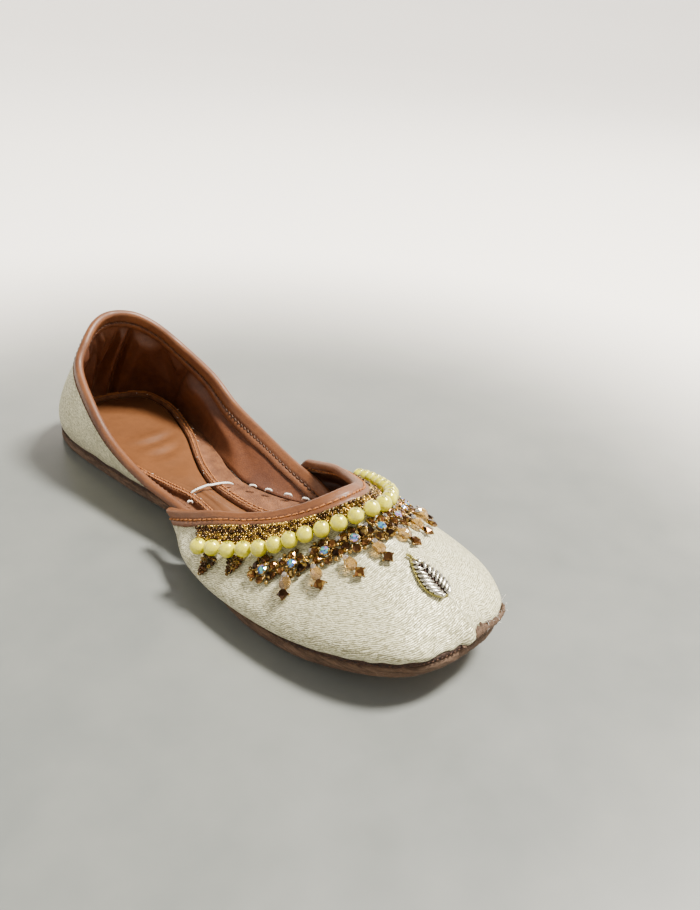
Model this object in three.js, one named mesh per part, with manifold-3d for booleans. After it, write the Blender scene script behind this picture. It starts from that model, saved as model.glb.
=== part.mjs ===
import * as THREE from "three";
import Module from "manifold-3d";

// A mojari slipper, right foot. Millimetres, heel towards +Y, toe towards -Y, up +Z.
// Shares of the length run from the back of the heel to the tip of the toe.

// Driving sizes
const LENGTH = 245;
const BALL_WIDTH = 80;
const SOLE_THICKNESS = 4;
const SOLE_EDGE = 1.2;
const MIDSOLE_THICKNESS = 1.2;
const MIDSOLE_INSET = 1.4;
const ARCH_LIFT = 1.2;
const TOE_SPRING = 12;
const COLLAR_RISE = 51.5;
const THROAT_RISE = 37;
const SIDE_SWELL = 8;
const UPPER_WALL = 1.8;
const FOOT_INSET = 0.6;
const GAP = 0.3;
const BINDING_THICKNESS = 1;
const BINDING_ROLL = 1.5;
const COLLAR_DEPTH_OUTSIDE = 5;
const COLLAR_DEPTH_INSIDE = 7;
const THROAT_DEPTH_OUTSIDE = 6;
const THROAT_DEPTH_INSIDE = 4;
const INSOLE_THICKNESS = 2.8;
const INSOLE_EDGE = 3.4;
const HEEL_PADDING = 3;
const STRIP_WIDTH = 3.6;
const STRIP_HEIGHT = 1.1;
const STRIP_EDGE = 0.7;
const LINING_SPACE = 1;
const TOE_LIP_HEIGHT = 3.4;
const TOE_LIP_THICKNESS = 1.6;
const BEAD_BAND_WIDTH = 4.2;
const BEAD_SIZE = 1.7;
const PEARL = 6;
const FLOWER_SIZE = 9;
const FLOWER_COUNT = 9;
const FLOWER_PITCH = 11.2;
const FLOWER_SAG = 4;
const FLOWER_SHIFT = -2.4;
const STONE = 4.4;
const DROP_LENGTH = 8;
const DROP_WIDTH = 4.4;
const SQUARE_STONE = 4.4;
const LEAF_LENGTH = 18;
const LEAF_WIDTH = 7;
const LEAF_HEIGHT = 1.6;
const LEAF_SPACE = 8.6;
const FLOWER_HEIGHT = 1.8;
const CLUSTER_SIZE = 7;
const CLUSTERS_PER_END = 2;

// Sizes that follow from them
const HALF_WIDTH = BALL_WIDTH / 2;
const SEAM = SOLE_THICKNESS + MIDSOLE_THICKNESS + 2 * GAP;
const LINING_INSET = FOOT_INSET + UPPER_WALL + LINING_SPACE;
const NUDGE = 0.005;

// Shares of the walls: how low the collar binding may reach, and how far beads and bindings run to the corners
const LOWEST_BINDING = 0.48;
const BEADS_REACH = 0.755;
const COLLAR_REACH = 0.93;
const THROAT_REACH = 1;
const STEPS = { sole: 40, insole: 28, strip: 56, vamp: 40, vampUp: 9, quarters: 40, quartersUp: 6, binding: 36 };

const COLORS = {
  outsole: 0x6b4630,
  midsole: 0x33211a,
  insole: 0xa8683f,
  strip: 0x9a5527,
  upper: 0xd6d0b8,
  binding: 0x8f5a3f,
  beads: 0x8a6a2c,
  pearls: 0xede3a0,
  crystal: 0x6a4a20,
  drop: 0xc99a6a,
  leaf: 0xb9b39a,
};

// Half of the sole's outline from the heel to the toe: share of the length, then as shares of half the ball width
// the half width, the sideways shift of its middle, and the margin from the edge to the insole, right and left.
const OUTLINE = [
  [0, 0, 0, 0.17, 0.17],
  [0.005, 0.24, 0, 0.17, 0.17],
  [0.018, 0.46, 0, 0.17, 0.17],
  [0.045, 0.62, 0, 0.17, 0.17],
  [0.085, 0.69, 0, 0.17, 0.17],
  [0.143, 0.71, 0, 0.17, 0.18],
  [0.25, 0.645, -0.025, 0.17, 0.26],
  [0.34, 0.545, -0.07, 0.17, 0.345],
  [0.4, 0.465, -0.115, 0.19, 0.37],
  [0.457, 0.43, -0.13, 0.22, 0.41],
  [0.522, 0.53, -0.11, 0.27, 0.49],
  [0.58, 0.705, -0.065, 0.29, 0.46],
  [0.637, 0.885, -0.025, 0.26, 0.31],
  [0.694, 0.99, 0, 0.2, 0.22],
  [0.755, 1.01, 0, 0.175, 0.18],
  [0.816, 0.98, 0, 0.17, 0.17],
  [0.865, 0.915, 0, 0.17, 0.17],
  [0.914, 0.81, 0, 0.17, 0.17],
  [0.949, 0.7, 0, 0.17, 0.17],
  [0.978, 0.56, 0, 0.17, 0.17],
  [0.992, 0.4, 0, 0.17, 0.17],
  [0.999, 0.2, 0, 0.17, 0.17],
  [1, 0, 0, 0.17, 0.17],
];
const TOE = OUTLINE.length - 1;

// Half of the quarters from the back of the heel to the end of the wing: row of the outline under the wall, top
// edge as shares of the length, half width and collar rise, its outward swell as a share of the greatest one, and how
// late the wall leans to its top.
const QUARTERS = [
  [0.0, 0.088, 0.0, 1.07, 0.4, 1.3],
  [1.3, 0.103, 0.25, 1.047, 0.4, 1.3],
  [2.7, 0.127, 0.47, 0.94, 0.36, 1.3],
  [4.2, 0.156, 0.665, 0.77, 0.27, 1.3],
  [5.3, 0.236, 0.788, 0.572, 0.175, 1.2],
  [6.4, 0.307, 0.814, 0.376, 0.1, 1.1],
  [8.0, 0.402, 0.8, 0.247, 0.05, 1.0],
  [9.6, 0.49, 0.745, 0.186, 0.04, 1.0],
  [10.5, 0.547, 0.73, 0.16, 0.03, 1.0],
  [11.4, 0.604, 0.75, 0.13, 0.0, 1.0],
  [12.1, 0.645, 0.85, 0.09, 0.0, 1.0],
];

// Half of the vamp from the toe to its rear corner, in the same columns, with the throat's rise in place of the
// collar's.
const VAMP = [
  [22.0, 0.742, 0.0, 0.975, 0.3, 1.65],
  [20.6, 0.734, 0.19, 0.93, 0.325, 1.65],
  [19.0, 0.715, 0.345, 0.84, 0.4, 1.75],
  [17.2, 0.685, 0.5, 0.735, 0.45, 2.0],
  [15.4, 0.642, 0.64, 0.63, 0.55, 1.9],
  [14.0, 0.602, 0.735, 0.555, 0.75, 1.6],
  [12.8, 0.565, 0.8, 0.455, 1.0, 1.3],
  [11.8, 0.53, 0.845, 0.36, 1.0, 1.1],
  [10.9, 0.496, 0.875, 0.28, 0.575, 1.0],
];

// Evenly spaced numbers from one value to another.
function spread(from, to, steps) {
  return Array.from({ length: steps + 1 }, (_, k) => from + ((to - from) * k) / steps);
}

// Smooth values between the rows of a table, at a place counted in rows.
function between(rows, place, closed = false) {
  const count = rows.length;
  const base = closed ? Math.floor(place) : Math.min(Math.max(Math.floor(place), 0), count - 2);
  const f = place - base;
  const row = (n) => {
    if (closed) return rows[((n % count) + count) % count];
    return rows[Math.min(Math.max(n, 0), count - 1)];
  };
  const [a, b, c, d] = [row(base - 1), row(base), row(base + 1), row(base + 2)];
  return b.map((value, k) => {
    const slope = (c[k] - a[k]) / 2;
    const next = (d[k] - value) / 2;
    const rise = c[k] - value;
    return value + f * (slope + f * (3 * rise - 2 * slope - next + f * (slope + next - 2 * rise)));
  });
}

// The sole's closed edge as [x, y, margin]: up the left side from the heel to the toe, back down the right side.
const edgeRow = (sign) => ([along, out, shift, right, left]) => [
  HALF_WIDTH * (shift + sign * out),
  LENGTH * (0.5 - along),
  HALF_WIDTH * (sign > 0 ? left : right),
];
const EDGE = [...OUTLINE.map(edgeRow(1)), ...OUTLINE.slice(1, -1).reverse().map(edgeRow(-1))];

// A point of the sole's edge moved inwards by an inset, with its outward direction and the insole's margin there.
function edgePoint(place, inset) {
  const [x, y, margin] = between(EDGE, place, true);
  const [ax, ay] = between(EDGE, place - 0.15, true);
  const [bx, by] = between(EDGE, place + 0.15, true);
  const out = new THREE.Vector3(ay - by, bx - ax, 0).normalize();
  return { out, margin, at: new THREE.Vector3(x, y, 0).addScaledVector(out, -inset) };
}

// Height of the sole's underside: flat under the heel and the ball, lifted at the arch and up to the toe.
function groundLift(y) {
  const along = 0.5 - y / LENGTH;
  const arch = Math.min(Math.max((along - 0.3) / 0.3, 0), 1);
  const spring = Math.max((along - 0.67) / 0.33, 0);
  return ARCH_LIFT * Math.sin(Math.PI * arch) ** 2 + TOE_SPRING * spring ** 2;
}

// Extra height of the cushion under the heel.
function heelPadding(y) {
  const share = Math.min(Math.max((0.26 - (0.5 - y / LENGTH)) / 0.22, 0), 1);
  return HEEL_PADDING * share * share * (3 - 2 * share);
}

// A mesh geometry of one closed surface, from triangles of points, with equal points joined and faces turned out.
function closedSurface(triangles) {
  const places = new Map();
  const positions = [];
  const number = (p) => {
    const key = p.toArray().map((v) => Math.round(v * 2000)).join();
    if (!places.has(key)) {
      places.set(key, positions.length / 3);
      positions.push(p.x, p.y, p.z);
    }
    return places.get(key);
  };
  const faces = triangles
    .map((points) => points.map(number))
    .filter(([a, b, c]) => a !== b && b !== c && c !== a);
  const corner = (i) => new THREE.Vector3().fromArray(positions, 3 * i);
  const volume = faces.reduce((sum, [a, b, c]) => sum + corner(a).dot(corner(b).cross(corner(c))), 0);
  const index = volume < 0 ? faces.map(([a, b, c]) => [a, c, b]) : faces;
  const geometry = new THREE.BufferGeometry();
  geometry.setAttribute("position", new THREE.Float32BufferAttribute(positions, 3));
  return geometry.setIndex(index.flat());
}

// The triangles of a three.js geometry as points.
function facesOf(geometry) {
  const flat = geometry.index ? geometry.toNonIndexed() : geometry;
  const corner = (i) => new THREE.Vector3().fromBufferAttribute(flat.attributes.position, i);
  return spread(0, flat.attributes.position.count / 3 - 1, flat.attributes.position.count / 3 - 1)
    .map((k) => [corner(3 * k), corner(3 * k + 1), corner(3 * k + 2)]);
}

// A skin over closed sections of equal count, in which point i faces point (count - 1 - i) across the section.
function loft(sections, closed = false) {
  const count = sections[0].length;
  const triangles = [];
  const quad = (a, b, c, d) => triangles.push([a, b, c], [a, c, d]);
  const last = closed ? sections.length : sections.length - 1;
  for (let k = 0; k < last; k++) {
    const one = sections[k];
    const two = sections[(k + 1) % sections.length];
    for (let i = 0; i < count; i++) {
      const j = (i + 1) % count;
      quad(one[i], one[j], two[j], two[i]);
    }
  }
  if (!closed) {
    const [first, end] = [sections[0], sections[sections.length - 1]];
    for (let i = 0; i < count / 2 - 1; i++) {
      const j = count - 1 - i;
      quad(first[i], first[j], first[j - 1], first[i + 1]);
      quad(end[i], end[i + 1], end[j - 1], end[j]);
    }
  }
  return closedSurface(triangles);
}

// A point above the sole's plan, an inset inside its edge and a height above the lifted ground.
function soleLevel(place, inset, height) {
  const { at } = edgePoint(place, inset);
  return at.setZ(groundLift(at.y) + height);
}

// A solid under the whole foot: its side is a list of [inset, height] from the bottom up, for each place.
function slab(steps, sideAt) {
  const sections = spread(0, TOE, steps).map((place) => {
    const side = (sign) => sideAt(sign * place).map(([inset, height]) => {
      const at = soleLevel(sign * place, inset, height);
      return place % TOE === 0 ? at.setX(0) : at;
    });
    return [...side(1), ...side(-1).reverse()];
  });
  return loft(sections);
}

// The wall of the quarters or the vamp as a function: t runs from the right end (-1) over the middle to the left
// end (1), v from the seam (0) to the top edge (1).
function makeWall(half, turn, rise, facing) {
  const side = (sign) => ([row, along, out, up, swell, lean]) =>
    [turn - sign * (turn - row), along, sign * out, up, swell, lean];
  const path = [...half.slice(1).reverse().map(side(-1)), ...half.map(side(1))];
  const point = (t, v) => {
    const [row, along, out, up, swell, lean] = between(path, ((t + 1) / 2) * (path.length - 1));
    const foot = edgePoint(row, FOOT_INSET);
    const seam = groundLift(foot.at.y) + SEAM;
    const top = new THREE.Vector3(HALF_WIDTH * out, LENGTH * (0.5 - along), 0);
    const at = foot.at.clone().lerp(top, Math.max(v, 0) ** lean);
    at.addScaledVector(foot.out, SIDE_SWELL * swell * 6.75 * v * (1 - v) ** 2);
    return at.setZ(seam + (SEAM + rise * up - seam) * v);
  };
  const normal = (t, v) => {
    const along = point(Math.min(t + NUDGE, 1), v).sub(point(Math.max(t - NUDGE, -1), v));
    const level = Math.min(v, 1 - NUDGE);
    const up = point(t, level + NUDGE).sub(point(t, Math.max(level - NUDGE, 0)));
    return along.cross(up).normalize().multiplyScalar(facing);
  };
  const raised = (t, v, height) => point(t, v).addScaledVector(normal(t, v), height);
  const below = (t, depth) => {
    const parts = 40;
    let left = depth;
    for (let k = parts; k > 0; k--) {
      const step = point(t, k / parts).distanceTo(point(t, (k - 1) / parts));
      if (step > left) return (k - left / step) / parts;
      left -= step;
    }
    return 0;
  };
  // Where a curve at a constant depth under the top edge reaches shares of its length.
  const along = (depth, from, to, shares) => {
    const places = spread(from, to, 160).map((t) => [t, point(t, below(t, depth))]);
    const lengths = [0];
    places.slice(1).forEach(([, p], k) => lengths.push(lengths[k] + p.distanceTo(places[k][1])));
    const total = lengths[lengths.length - 1];
    const at = shares.map((share) => {
      const k = Math.max(1, lengths.findIndex((length) => length >= share * total - 1e-9));
      const part = (share * total - lengths[k - 1]) / (lengths[k] - lengths[k - 1]);
      return places[k - 1][0] + part * (places[k][0] - places[k - 1][0]);
    });
    return { total, at };
  };
  // A flat ornament laid on the wall: its x runs along the top edge, its y up to it, its z out of the wall.
  const wrap = (geometry, t, v, turn) => {
    const perT = point(t + NUDGE, v).sub(point(t - NUDGE, v)).divideScalar(2 * NUDGE);
    const perV = point(t, v + NUDGE).sub(point(t, v - NUDGE)).divideScalar(2 * NUDGE);
    const across = perT.clone().normalize();
    const up = normal(t, v).multiplyScalar(facing).cross(across);
    const [c, s] = [Math.cos(turn), Math.sin(turn)];
    return facesOf(geometry).map((points) => points.map(({ x, y, z }) => {
      const [a, b] = [c * x - s * y, s * x + c * y];
      const dv = b / perV.dot(up);
      const dt = (a - dv * perV.dot(across)) / perT.length();
      return raised(t + dt, v + dv, GAP + z);
    }));
  };
  return { point, normal, raised, below, along, wrap };
}

const quarters = makeWall(QUARTERS, 0, COLLAR_RISE, -1);
const vamp = makeWall(VAMP, TOE, THROAT_RISE, 1);

// Solids for joining and cutting, and back
function solidOf(geometry) {
  const triVerts = new Uint32Array(geometry.index.array);
  const vertProperties = new Float32Array(geometry.attributes.position.array);
  return new wasm.Manifold(new wasm.Mesh({ numProp: 3, vertProperties, triVerts }));
}

function geometryOf(solid) {
  const { vertProperties, triVerts, numProp } = solid.getMesh();
  const positions = [];
  for (let i = 0; i < vertProperties.length; i += numProp) positions.push(...vertProperties.slice(i, i + 3));
  const geometry = new THREE.BufferGeometry();
  geometry.setAttribute("position", new THREE.Float32BufferAttribute(positions, 3));
  return geometry.setIndex([...triVerts]);
}

// The hollow shell of a wall, or the same shell swollen by a clearance on all sides but the foot.
function shell(wall, steps, rows, clearance = 0) {
  const levels = spread(0, 1, rows);
  const inside = (t, v) => {
    const at = wall.raised(t, v, -UPPER_WALL - clearance);
    return at.setZ(Math.max(at.z, wall.point(t, 0).z));
  };
  const sections = spread(-1, 1, steps).map((t) => {
    const perV = wall.point(t, 1).distanceTo(wall.point(t, 1 - NUDGE)) / NUDGE;
    const top = 1 + clearance / perV;
    return [
      ...levels.map((v) => wall.raised(t, v * top, clearance)),
      ...levels.map((v) => inside(t, v * top)).reverse(),
    ];
  });
  return solidOf(loft(sections));
}

// A leather binding folded over the top edge of a wall, with a clearance to the walls it is cut around.
function binding(wall, reach, steps, outside, inside, walls) {
  const sections = spread(-reach, reach, steps).map((t) => {
    const rim = wall.point(t, 1);
    const up = rim.clone().sub(wall.point(t, 0.96)).normalize();
    const out = wall.normal(t, 1);
    const side = BINDING_THICKNESS + GAP;
    const leg = (depth, height) => wall.raised(t, Math.max(wall.below(t, depth), LOWEST_BINDING), height);
    const over = (across, height) => rim.clone().addScaledVector(out, across).addScaledVector(up, height);
    return [
      leg(outside, side),
      leg(outside / 2, side),
      over(side, 0),
      over(-UPPER_WALL * 0.25, BINDING_ROLL + GAP),
      over(-UPPER_WALL * 0.75, BINDING_ROLL + GAP),
      over(-UPPER_WALL - side, 0),
      leg(inside / 2, -UPPER_WALL - side),
      leg(inside, -UPPER_WALL - side),
    ];
  });
  return geometryOf(walls.reduce((solid, cut) => solid.subtract(cut), solidOf(loft(sections))));
}

const wasm = await Module();
wasm.setup();

const shoe = new THREE.Group();
shoe.name = "mojari";

function add(name, geometry, color, roughness = 0.8, metalness = 0) {
  const mesh = new THREE.Mesh(geometry, new THREE.MeshStandardMaterial({ color, roughness, metalness }));
  mesh.name = name;
  shoe.add(mesh);
}

// Sole
const soleSide = [
  [1, 0],
  [0.25, 0.18],
  [0, 0.55],
  [0.4, 0.85],
  [1, 1],
].map(([inset, height]) => [inset * SOLE_EDGE, height * SOLE_THICKNESS]);
add("outsole", slab(STEPS.sole, () => soleSide), COLORS.outsole);
const midsoleBottom = SOLE_THICKNESS + GAP;
const midsoleSide = [
  [MIDSOLE_INSET, midsoleBottom],
  [MIDSOLE_INSET, midsoleBottom + MIDSOLE_THICKNESS],
];
add("midsole", slab(STEPS.sole, () => midsoleSide), COLORS.midsole);

// Insole and the stitched strip of lining around it
const insoleTop = (place) => SEAM + INSOLE_THICKNESS + heelPadding(edgePoint(place, 0).at.y);
const insoleSide = (place) => {
  const { margin } = edgePoint(place, 0);
  const top = insoleTop(place);
  return [
    [margin + INSOLE_EDGE * 0.12, SEAM],
    [margin, top - INSOLE_THICKNESS * 0.5],
    [margin + INSOLE_EDGE * 0.3, top - INSOLE_THICKNESS * 0.15],
    [margin + INSOLE_EDGE, top],
  ];
};
add("insole", slab(STEPS.insole, insoleSide), COLORS.insole);
const stripSections = spread(0, 2 * TOE, STEPS.strip).slice(1).map((place) => {
  const inner = edgePoint(place, 0).margin - GAP;
  const outer = Math.max(inner - STRIP_WIDTH, LINING_INSET + STRIP_EDGE * 0.3);
  const top = insoleTop(place) + STRIP_HEIGHT;
  const low = top - INSOLE_THICKNESS * 0.6 - STRIP_HEIGHT - heelPadding(edgePoint(place, 0).at.y);
  return [
    [inner, SEAM],
    [inner, top - STRIP_HEIGHT * 0.5],
    [inner - STRIP_EDGE, top],
    [outer + STRIP_EDGE, top],
    [outer, low + STRIP_EDGE * 0.6],
    [LINING_INSET, low],
    [LINING_INSET, SEAM],
  ].map(([inset, height]) => soleLevel(place, inset, height));
});
add("insole_strip", loft(stripSections, true), COLORS.strip);

// Upper
const upper = shell(vamp, STEPS.vamp, STEPS.vampUp).add(shell(quarters, STEPS.quarters, STEPS.quartersUp));
add("upper", geometryOf(upper), COLORS.upper);
const around = [
  shell(vamp, STEPS.vamp, STEPS.vampUp, GAP),
  shell(quarters, STEPS.quarters, STEPS.quartersUp, GAP),
];
const collar = binding(
  quarters, COLLAR_REACH, STEPS.binding, COLLAR_DEPTH_OUTSIDE, COLLAR_DEPTH_INSIDE, around,
);
add("collar_binding", collar, COLORS.binding);
const throat = binding(
  vamp, THROAT_REACH, STEPS.binding, THROAT_DEPTH_OUTSIDE, THROAT_DEPTH_INSIDE, around,
);
add("throat_binding", throat, COLORS.binding);

// Bead band
const bandSections = spread(-BEADS_REACH, BEADS_REACH, STEPS.binding).map((t) => {
  const level = (depth, height) => vamp.raised(t, vamp.below(t, depth), height);
  const top = THROAT_DEPTH_OUTSIDE + GAP;
  return [
    level(top, GAP),
    level(top, GAP + BEAD_SIZE),
    level(top + BEAD_BAND_WIDTH, GAP + BEAD_SIZE),
    level(top + BEAD_BAND_WIDTH, GAP),
  ];
});
add("bead_band", loft(bandSections), COLORS.beads, 0.35, 0.5);

// Pearl string: round pearls that touch, joined where their thread runs through
const pearlDepth = THROAT_DEPTH_OUTSIDE + BEAD_BAND_WIDTH + 3 * GAP + PEARL / 2;
const pearlRoom = vamp.along(pearlDepth, -BEADS_REACH, BEADS_REACH, []).total;
const pearlCount = Math.round(pearlRoom / PEARL);
const pearlRings = vamp.along(pearlDepth, -BEADS_REACH, BEADS_REACH, spread(0, 1, 4 * pearlCount)).at
  .map((t) => vamp.raised(t, vamp.below(t, pearlDepth), GAP + PEARL / 2));
const pearlPath = new THREE.CatmullRomCurve3(pearlRings);
const pearlSections = pearlRings.map((centre, k) => {
  const radius = (PEARL / 2) * [0.3, 0.84, 1, 0.84][k % 4];
  const along = pearlPath.getTangent(k / (4 * pearlCount));
  const side = new THREE.Vector3(0, 0, 1).cross(along).normalize();
  const up = along.clone().cross(side);
  return spread(0, 7, 7).map((n) => {
    const turn = (n * Math.PI) / 4;
    const ray = side.clone().multiplyScalar(Math.cos(turn)).addScaledVector(up, Math.sin(turn));
    return centre.clone().addScaledVector(ray, radius);
  });
});
add("pearl_string", loft(pearlSections), COLORS.pearls, 0.25);

// A flat shape from points, of a thickness, standing on z = 0
function plate(points, thickness) {
  const shape = new THREE.Shape(points.map(([x, y]) => new THREE.Vector2(x, y)));
  return new THREE.ExtrudeGeometry(shape, { depth: thickness, bevelEnabled: false });
}

function addOrnaments(name, geometry, places, color) {
  places.forEach(({ t, depth }, k) => {
    const faces = vamp.wrap(geometry, t, vamp.below(t, depth), 0);
    add(`${name}_${k + 1}`, closedSurface(faces), color, 0.3, 0.4);
  });
}

const lastFlower = (FLOWER_COUNT - 1) / 2;
const sagOf = (step) => (Math.abs(step) > lastFlower ? 0 : (step / lastFlower) ** 2);

// Places under the throat, counted in flower steps from its middle, on a line that sags towards its ends
function evenly(depth, steps) {
  const { total } = vamp.along(depth, -1, 1, []);
  const shares = steps.map((step) => 0.5 + (step * FLOWER_PITCH + FLOWER_SHIFT) / total);
  return vamp.along(depth, -1, 1, shares).at.map((t, k) => ({ t, depth: depth + FLOWER_SAG * sagOf(steps[k]) }));
}

// Crystal flowers: six petals of small crystals around a raised stone
const petals = plate(spread(0, 11, 11).map((k) => {
  const radius = (FLOWER_SIZE / 2) * (k % 2 ? 0.68 : 1);
  return [radius * Math.cos((k * Math.PI) / 6), radius * Math.sin((k * Math.PI) / 6)];
}), FLOWER_HEIGHT);
const stone = new THREE.CylinderGeometry(STONE * 0.3, STONE / 2, FLOWER_HEIGHT, 7)
  .rotateX(Math.PI / 2)
  .translate(0, 0, FLOWER_HEIGHT * 1.2);
const flower = geometryOf(solidOf(closedSurface(facesOf(petals))).add(solidOf(closedSurface(facesOf(stone)))));
const flowerDepth = pearlDepth + PEARL / 2 + FLOWER_SIZE / 2 + 4 * GAP;
addOrnaments("flower", flower, evenly(flowerDepth, spread(-lastFlower, lastFlower, FLOWER_COUNT - 1)), COLORS.crystal);

// Faceted drops between the flowers, each with a square stone below
const drop = new THREE.LatheGeometry([
  new THREE.Vector2(0, -DROP_LENGTH / 2),
  new THREE.Vector2(DROP_WIDTH / 2, -DROP_LENGTH * 0.12),
  new THREE.Vector2(0, DROP_LENGTH / 2),
], 6).translate(0, 0, DROP_WIDTH / 2);
const square = new THREE.BoxGeometry(SQUARE_STONE, SQUARE_STONE, DROP_WIDTH * 0.7)
  .translate(0, -(DROP_LENGTH + SQUARE_STONE) * 0.44, DROP_WIDTH * 0.35);
const pendant = geometryOf(solidOf(closedSurface(facesOf(drop))).add(solidOf(closedSurface(facesOf(square)))));
const dropDepth = flowerDepth + DROP_LENGTH * 0.9;
const dropPlaces = evenly(dropDepth, spread(0.5 - lastFlower, lastFlower - 0.5, FLOWER_COUNT - 2));
addOrnaments("drop", pendant, dropPlaces, COLORS.drop);

// Small tapered clusters at both ends of the beadwork
const cluster = plate([
  [-0.5, 0.5],
  [-0.5, 0],
  [-0.25, -0.45],
  [0, -0.6],
  [0.25, -0.45],
  [0.5, 0],
  [0.5, 0.5],
].map(([x, y]) => [x * CLUSTER_SIZE, y * CLUSTER_SIZE]), FLOWER_HEIGHT);
const clusterDepth = pearlDepth + PEARL / 2 + CLUSTER_SIZE / 2 + 4 * GAP;
const clusterSteps = spread(lastFlower + 1, lastFlower + CLUSTERS_PER_END, CLUSTERS_PER_END - 1);
const clusterPlaces = evenly(clusterDepth, [...clusterSteps.map((step) => -step).reverse(), ...clusterSteps]);
addOrnaments("cluster", cluster, clusterPlaces, COLORS.crystal);

// Wire leaf on the toe: a domed plate with a raised rib, under the middle of the flowers
const leafSections = spread(-0.5, 0.5, 10).map((share) => {
  const wide = (LEAF_WIDTH / 2) * (0.88 * Math.sin(Math.PI * (share + 0.5) ** 0.85) + 0.12);
  return [
    [-1, 0.44],
    [-0.5, 0.8],
    [0, 1],
    [0.5, 0.8],
    [1, 0.44],
    [1, 0],
    [0.5, 0],
    [0, 0],
    [-0.5, 0],
    [-1, 0],
  ].map(([x, z]) => new THREE.Vector3(x * wide, share * LEAF_LENGTH, z * LEAF_HEIGHT));
});
const leafDepth = flowerDepth + FLOWER_SIZE / 2 + LEAF_SPACE + LEAF_LENGTH / 2;
const leafFaces = vamp.wrap(loft(leafSections), 0, vamp.below(0, leafDepth), 0);
add("toe_leaf", closedSurface(leafFaces), COLORS.leaf, 0.35, 0.7);

// Lip of the sole, turned up against the toe from its middle round the far corner: its rise as shares of the highest,
// at every facet of the vamp.
const TOE_LIP = [0.15, 0.3, 0.35, 0.55, 0.95, 1, 0.95, 0.8, 0.5, 0.2];
const lipSections = TOE_LIP.map((rise, k) => {
  const t = ((k - 3) * 2) / STEPS.vamp;
  const top = (TOE_LIP_HEIGHT * rise * NUDGE) / vamp.point(t, NUDGE).distanceTo(vamp.point(t, 0));
  const at = (share, height) => vamp.raised(t, share * top, height);
  return [
    at(0, GAP),
    at(1, GAP),
    at(1, GAP + TOE_LIP_THICKNESS * 0.6),
    at(0, GAP + TOE_LIP_THICKNESS),
  ];
});
add("toe_lip", loft(lipSections), COLORS.outsole);

// The frame's origin lies under the middle of the whole shoe, on the floor.
const box = new THREE.Box3().setFromObject(shoe);
const middle = box.getCenter(new THREE.Vector3());
shoe.position.set(-middle.x, -middle.y, -box.min.z);

export default shoe;
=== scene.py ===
"""A beaded mojari slipper, right foot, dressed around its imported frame.

Lengths in the tables and functions are millimetres unless a name says otherwise; the meshes are in metres.
"""

import functools
import math

import bpy
import numpy as np
from mathutils import Matrix, Vector


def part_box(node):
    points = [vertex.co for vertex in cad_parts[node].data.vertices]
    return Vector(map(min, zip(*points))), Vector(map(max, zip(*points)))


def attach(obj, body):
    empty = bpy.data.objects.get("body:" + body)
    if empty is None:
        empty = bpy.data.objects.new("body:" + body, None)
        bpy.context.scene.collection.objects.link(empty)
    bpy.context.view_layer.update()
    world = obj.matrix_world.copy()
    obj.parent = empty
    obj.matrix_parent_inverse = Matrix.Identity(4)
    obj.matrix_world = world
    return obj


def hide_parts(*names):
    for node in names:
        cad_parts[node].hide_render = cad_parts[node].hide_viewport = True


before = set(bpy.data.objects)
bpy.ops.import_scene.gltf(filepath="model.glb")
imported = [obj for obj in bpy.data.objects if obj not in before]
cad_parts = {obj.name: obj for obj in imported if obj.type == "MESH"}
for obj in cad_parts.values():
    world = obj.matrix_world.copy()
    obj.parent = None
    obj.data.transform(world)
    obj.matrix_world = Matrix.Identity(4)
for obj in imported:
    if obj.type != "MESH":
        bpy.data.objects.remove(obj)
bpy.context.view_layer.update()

bl_info = {
    "name": "Mojari slipper",
    "version": (1, 0, 0),
    "blender": (4, 5, 0),
    "location": "View3D > Sidebar > Mojari",
    "description": "Builds the cloth, leather, beadwork and stage of a mojari slipper around its frame",
    "category": "Add Mesh",
}

MM = 0.001
BODY = "root"
SEED = 7

# Sizes of the last, as in the part's own source
LENGTH = 245.0
HALF_WIDTH = 40.0
SOLE_THICKNESS = 4.0
SOLE_EDGE = 1.2
MIDSOLE_THICKNESS = 1.2
ARCH_LIFT = 1.2
TOE_SPRING = 12.0
COLLAR_RISE = 51.5
THROAT_RISE = 37.0
SIDE_SWELL = 8.0
UPPER_WALL = 1.8
FOOT_INSET = 0.6
GAP = 0.3
SEAM = SOLE_THICKNESS + MIDSOLE_THICKNESS + 2 * GAP
INSOLE_THICKNESS = 2.8
INSOLE_EDGE = 3.4
HEEL_PADDING = 3.0
STRIP_WIDTH = 3.6
STRIP_HEIGHT = 1.1
LINING_SPACE = 1.0
LINING_INSET = FOOT_INSET + UPPER_WALL + LINING_SPACE
COLLAR_OUTSIDE = 5.0
COLLAR_INSIDE = 7.0
THROAT_OUTSIDE = 6.0
THROAT_INSIDE = 4.0
BEAD_BAND_WIDTH = 4.2
BEADS_REACH = 0.755
PEARL = 6.0
FLOWER_SIZE = 9.0
FLOWER_COUNT = 9
FLOWER_PITCH = 11.2
FLOWER_SAG = 4.0
FLOWER_SHIFT = -2.4
DROP_LENGTH = 8.0
DROP_WIDTH = 4.4
SQUARE_STONE = 4.4
CLUSTER_SIZE = 7.0
CLUSTERS_PER_END = 2
LEAF_LENGTH = 18.0
LEAF_WIDTH = 7.0
LEAF_SPACE = 8.6
TOE_LIP_HEIGHT = 3.4

# Sizes that only the scene has: peak of the toe's cloth, wear of the sole, droop of the throat's corner
TOE_PEAK = 2.0
CORNER_WEAR = 2.0
CORNER_DROOP = 4.6

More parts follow.
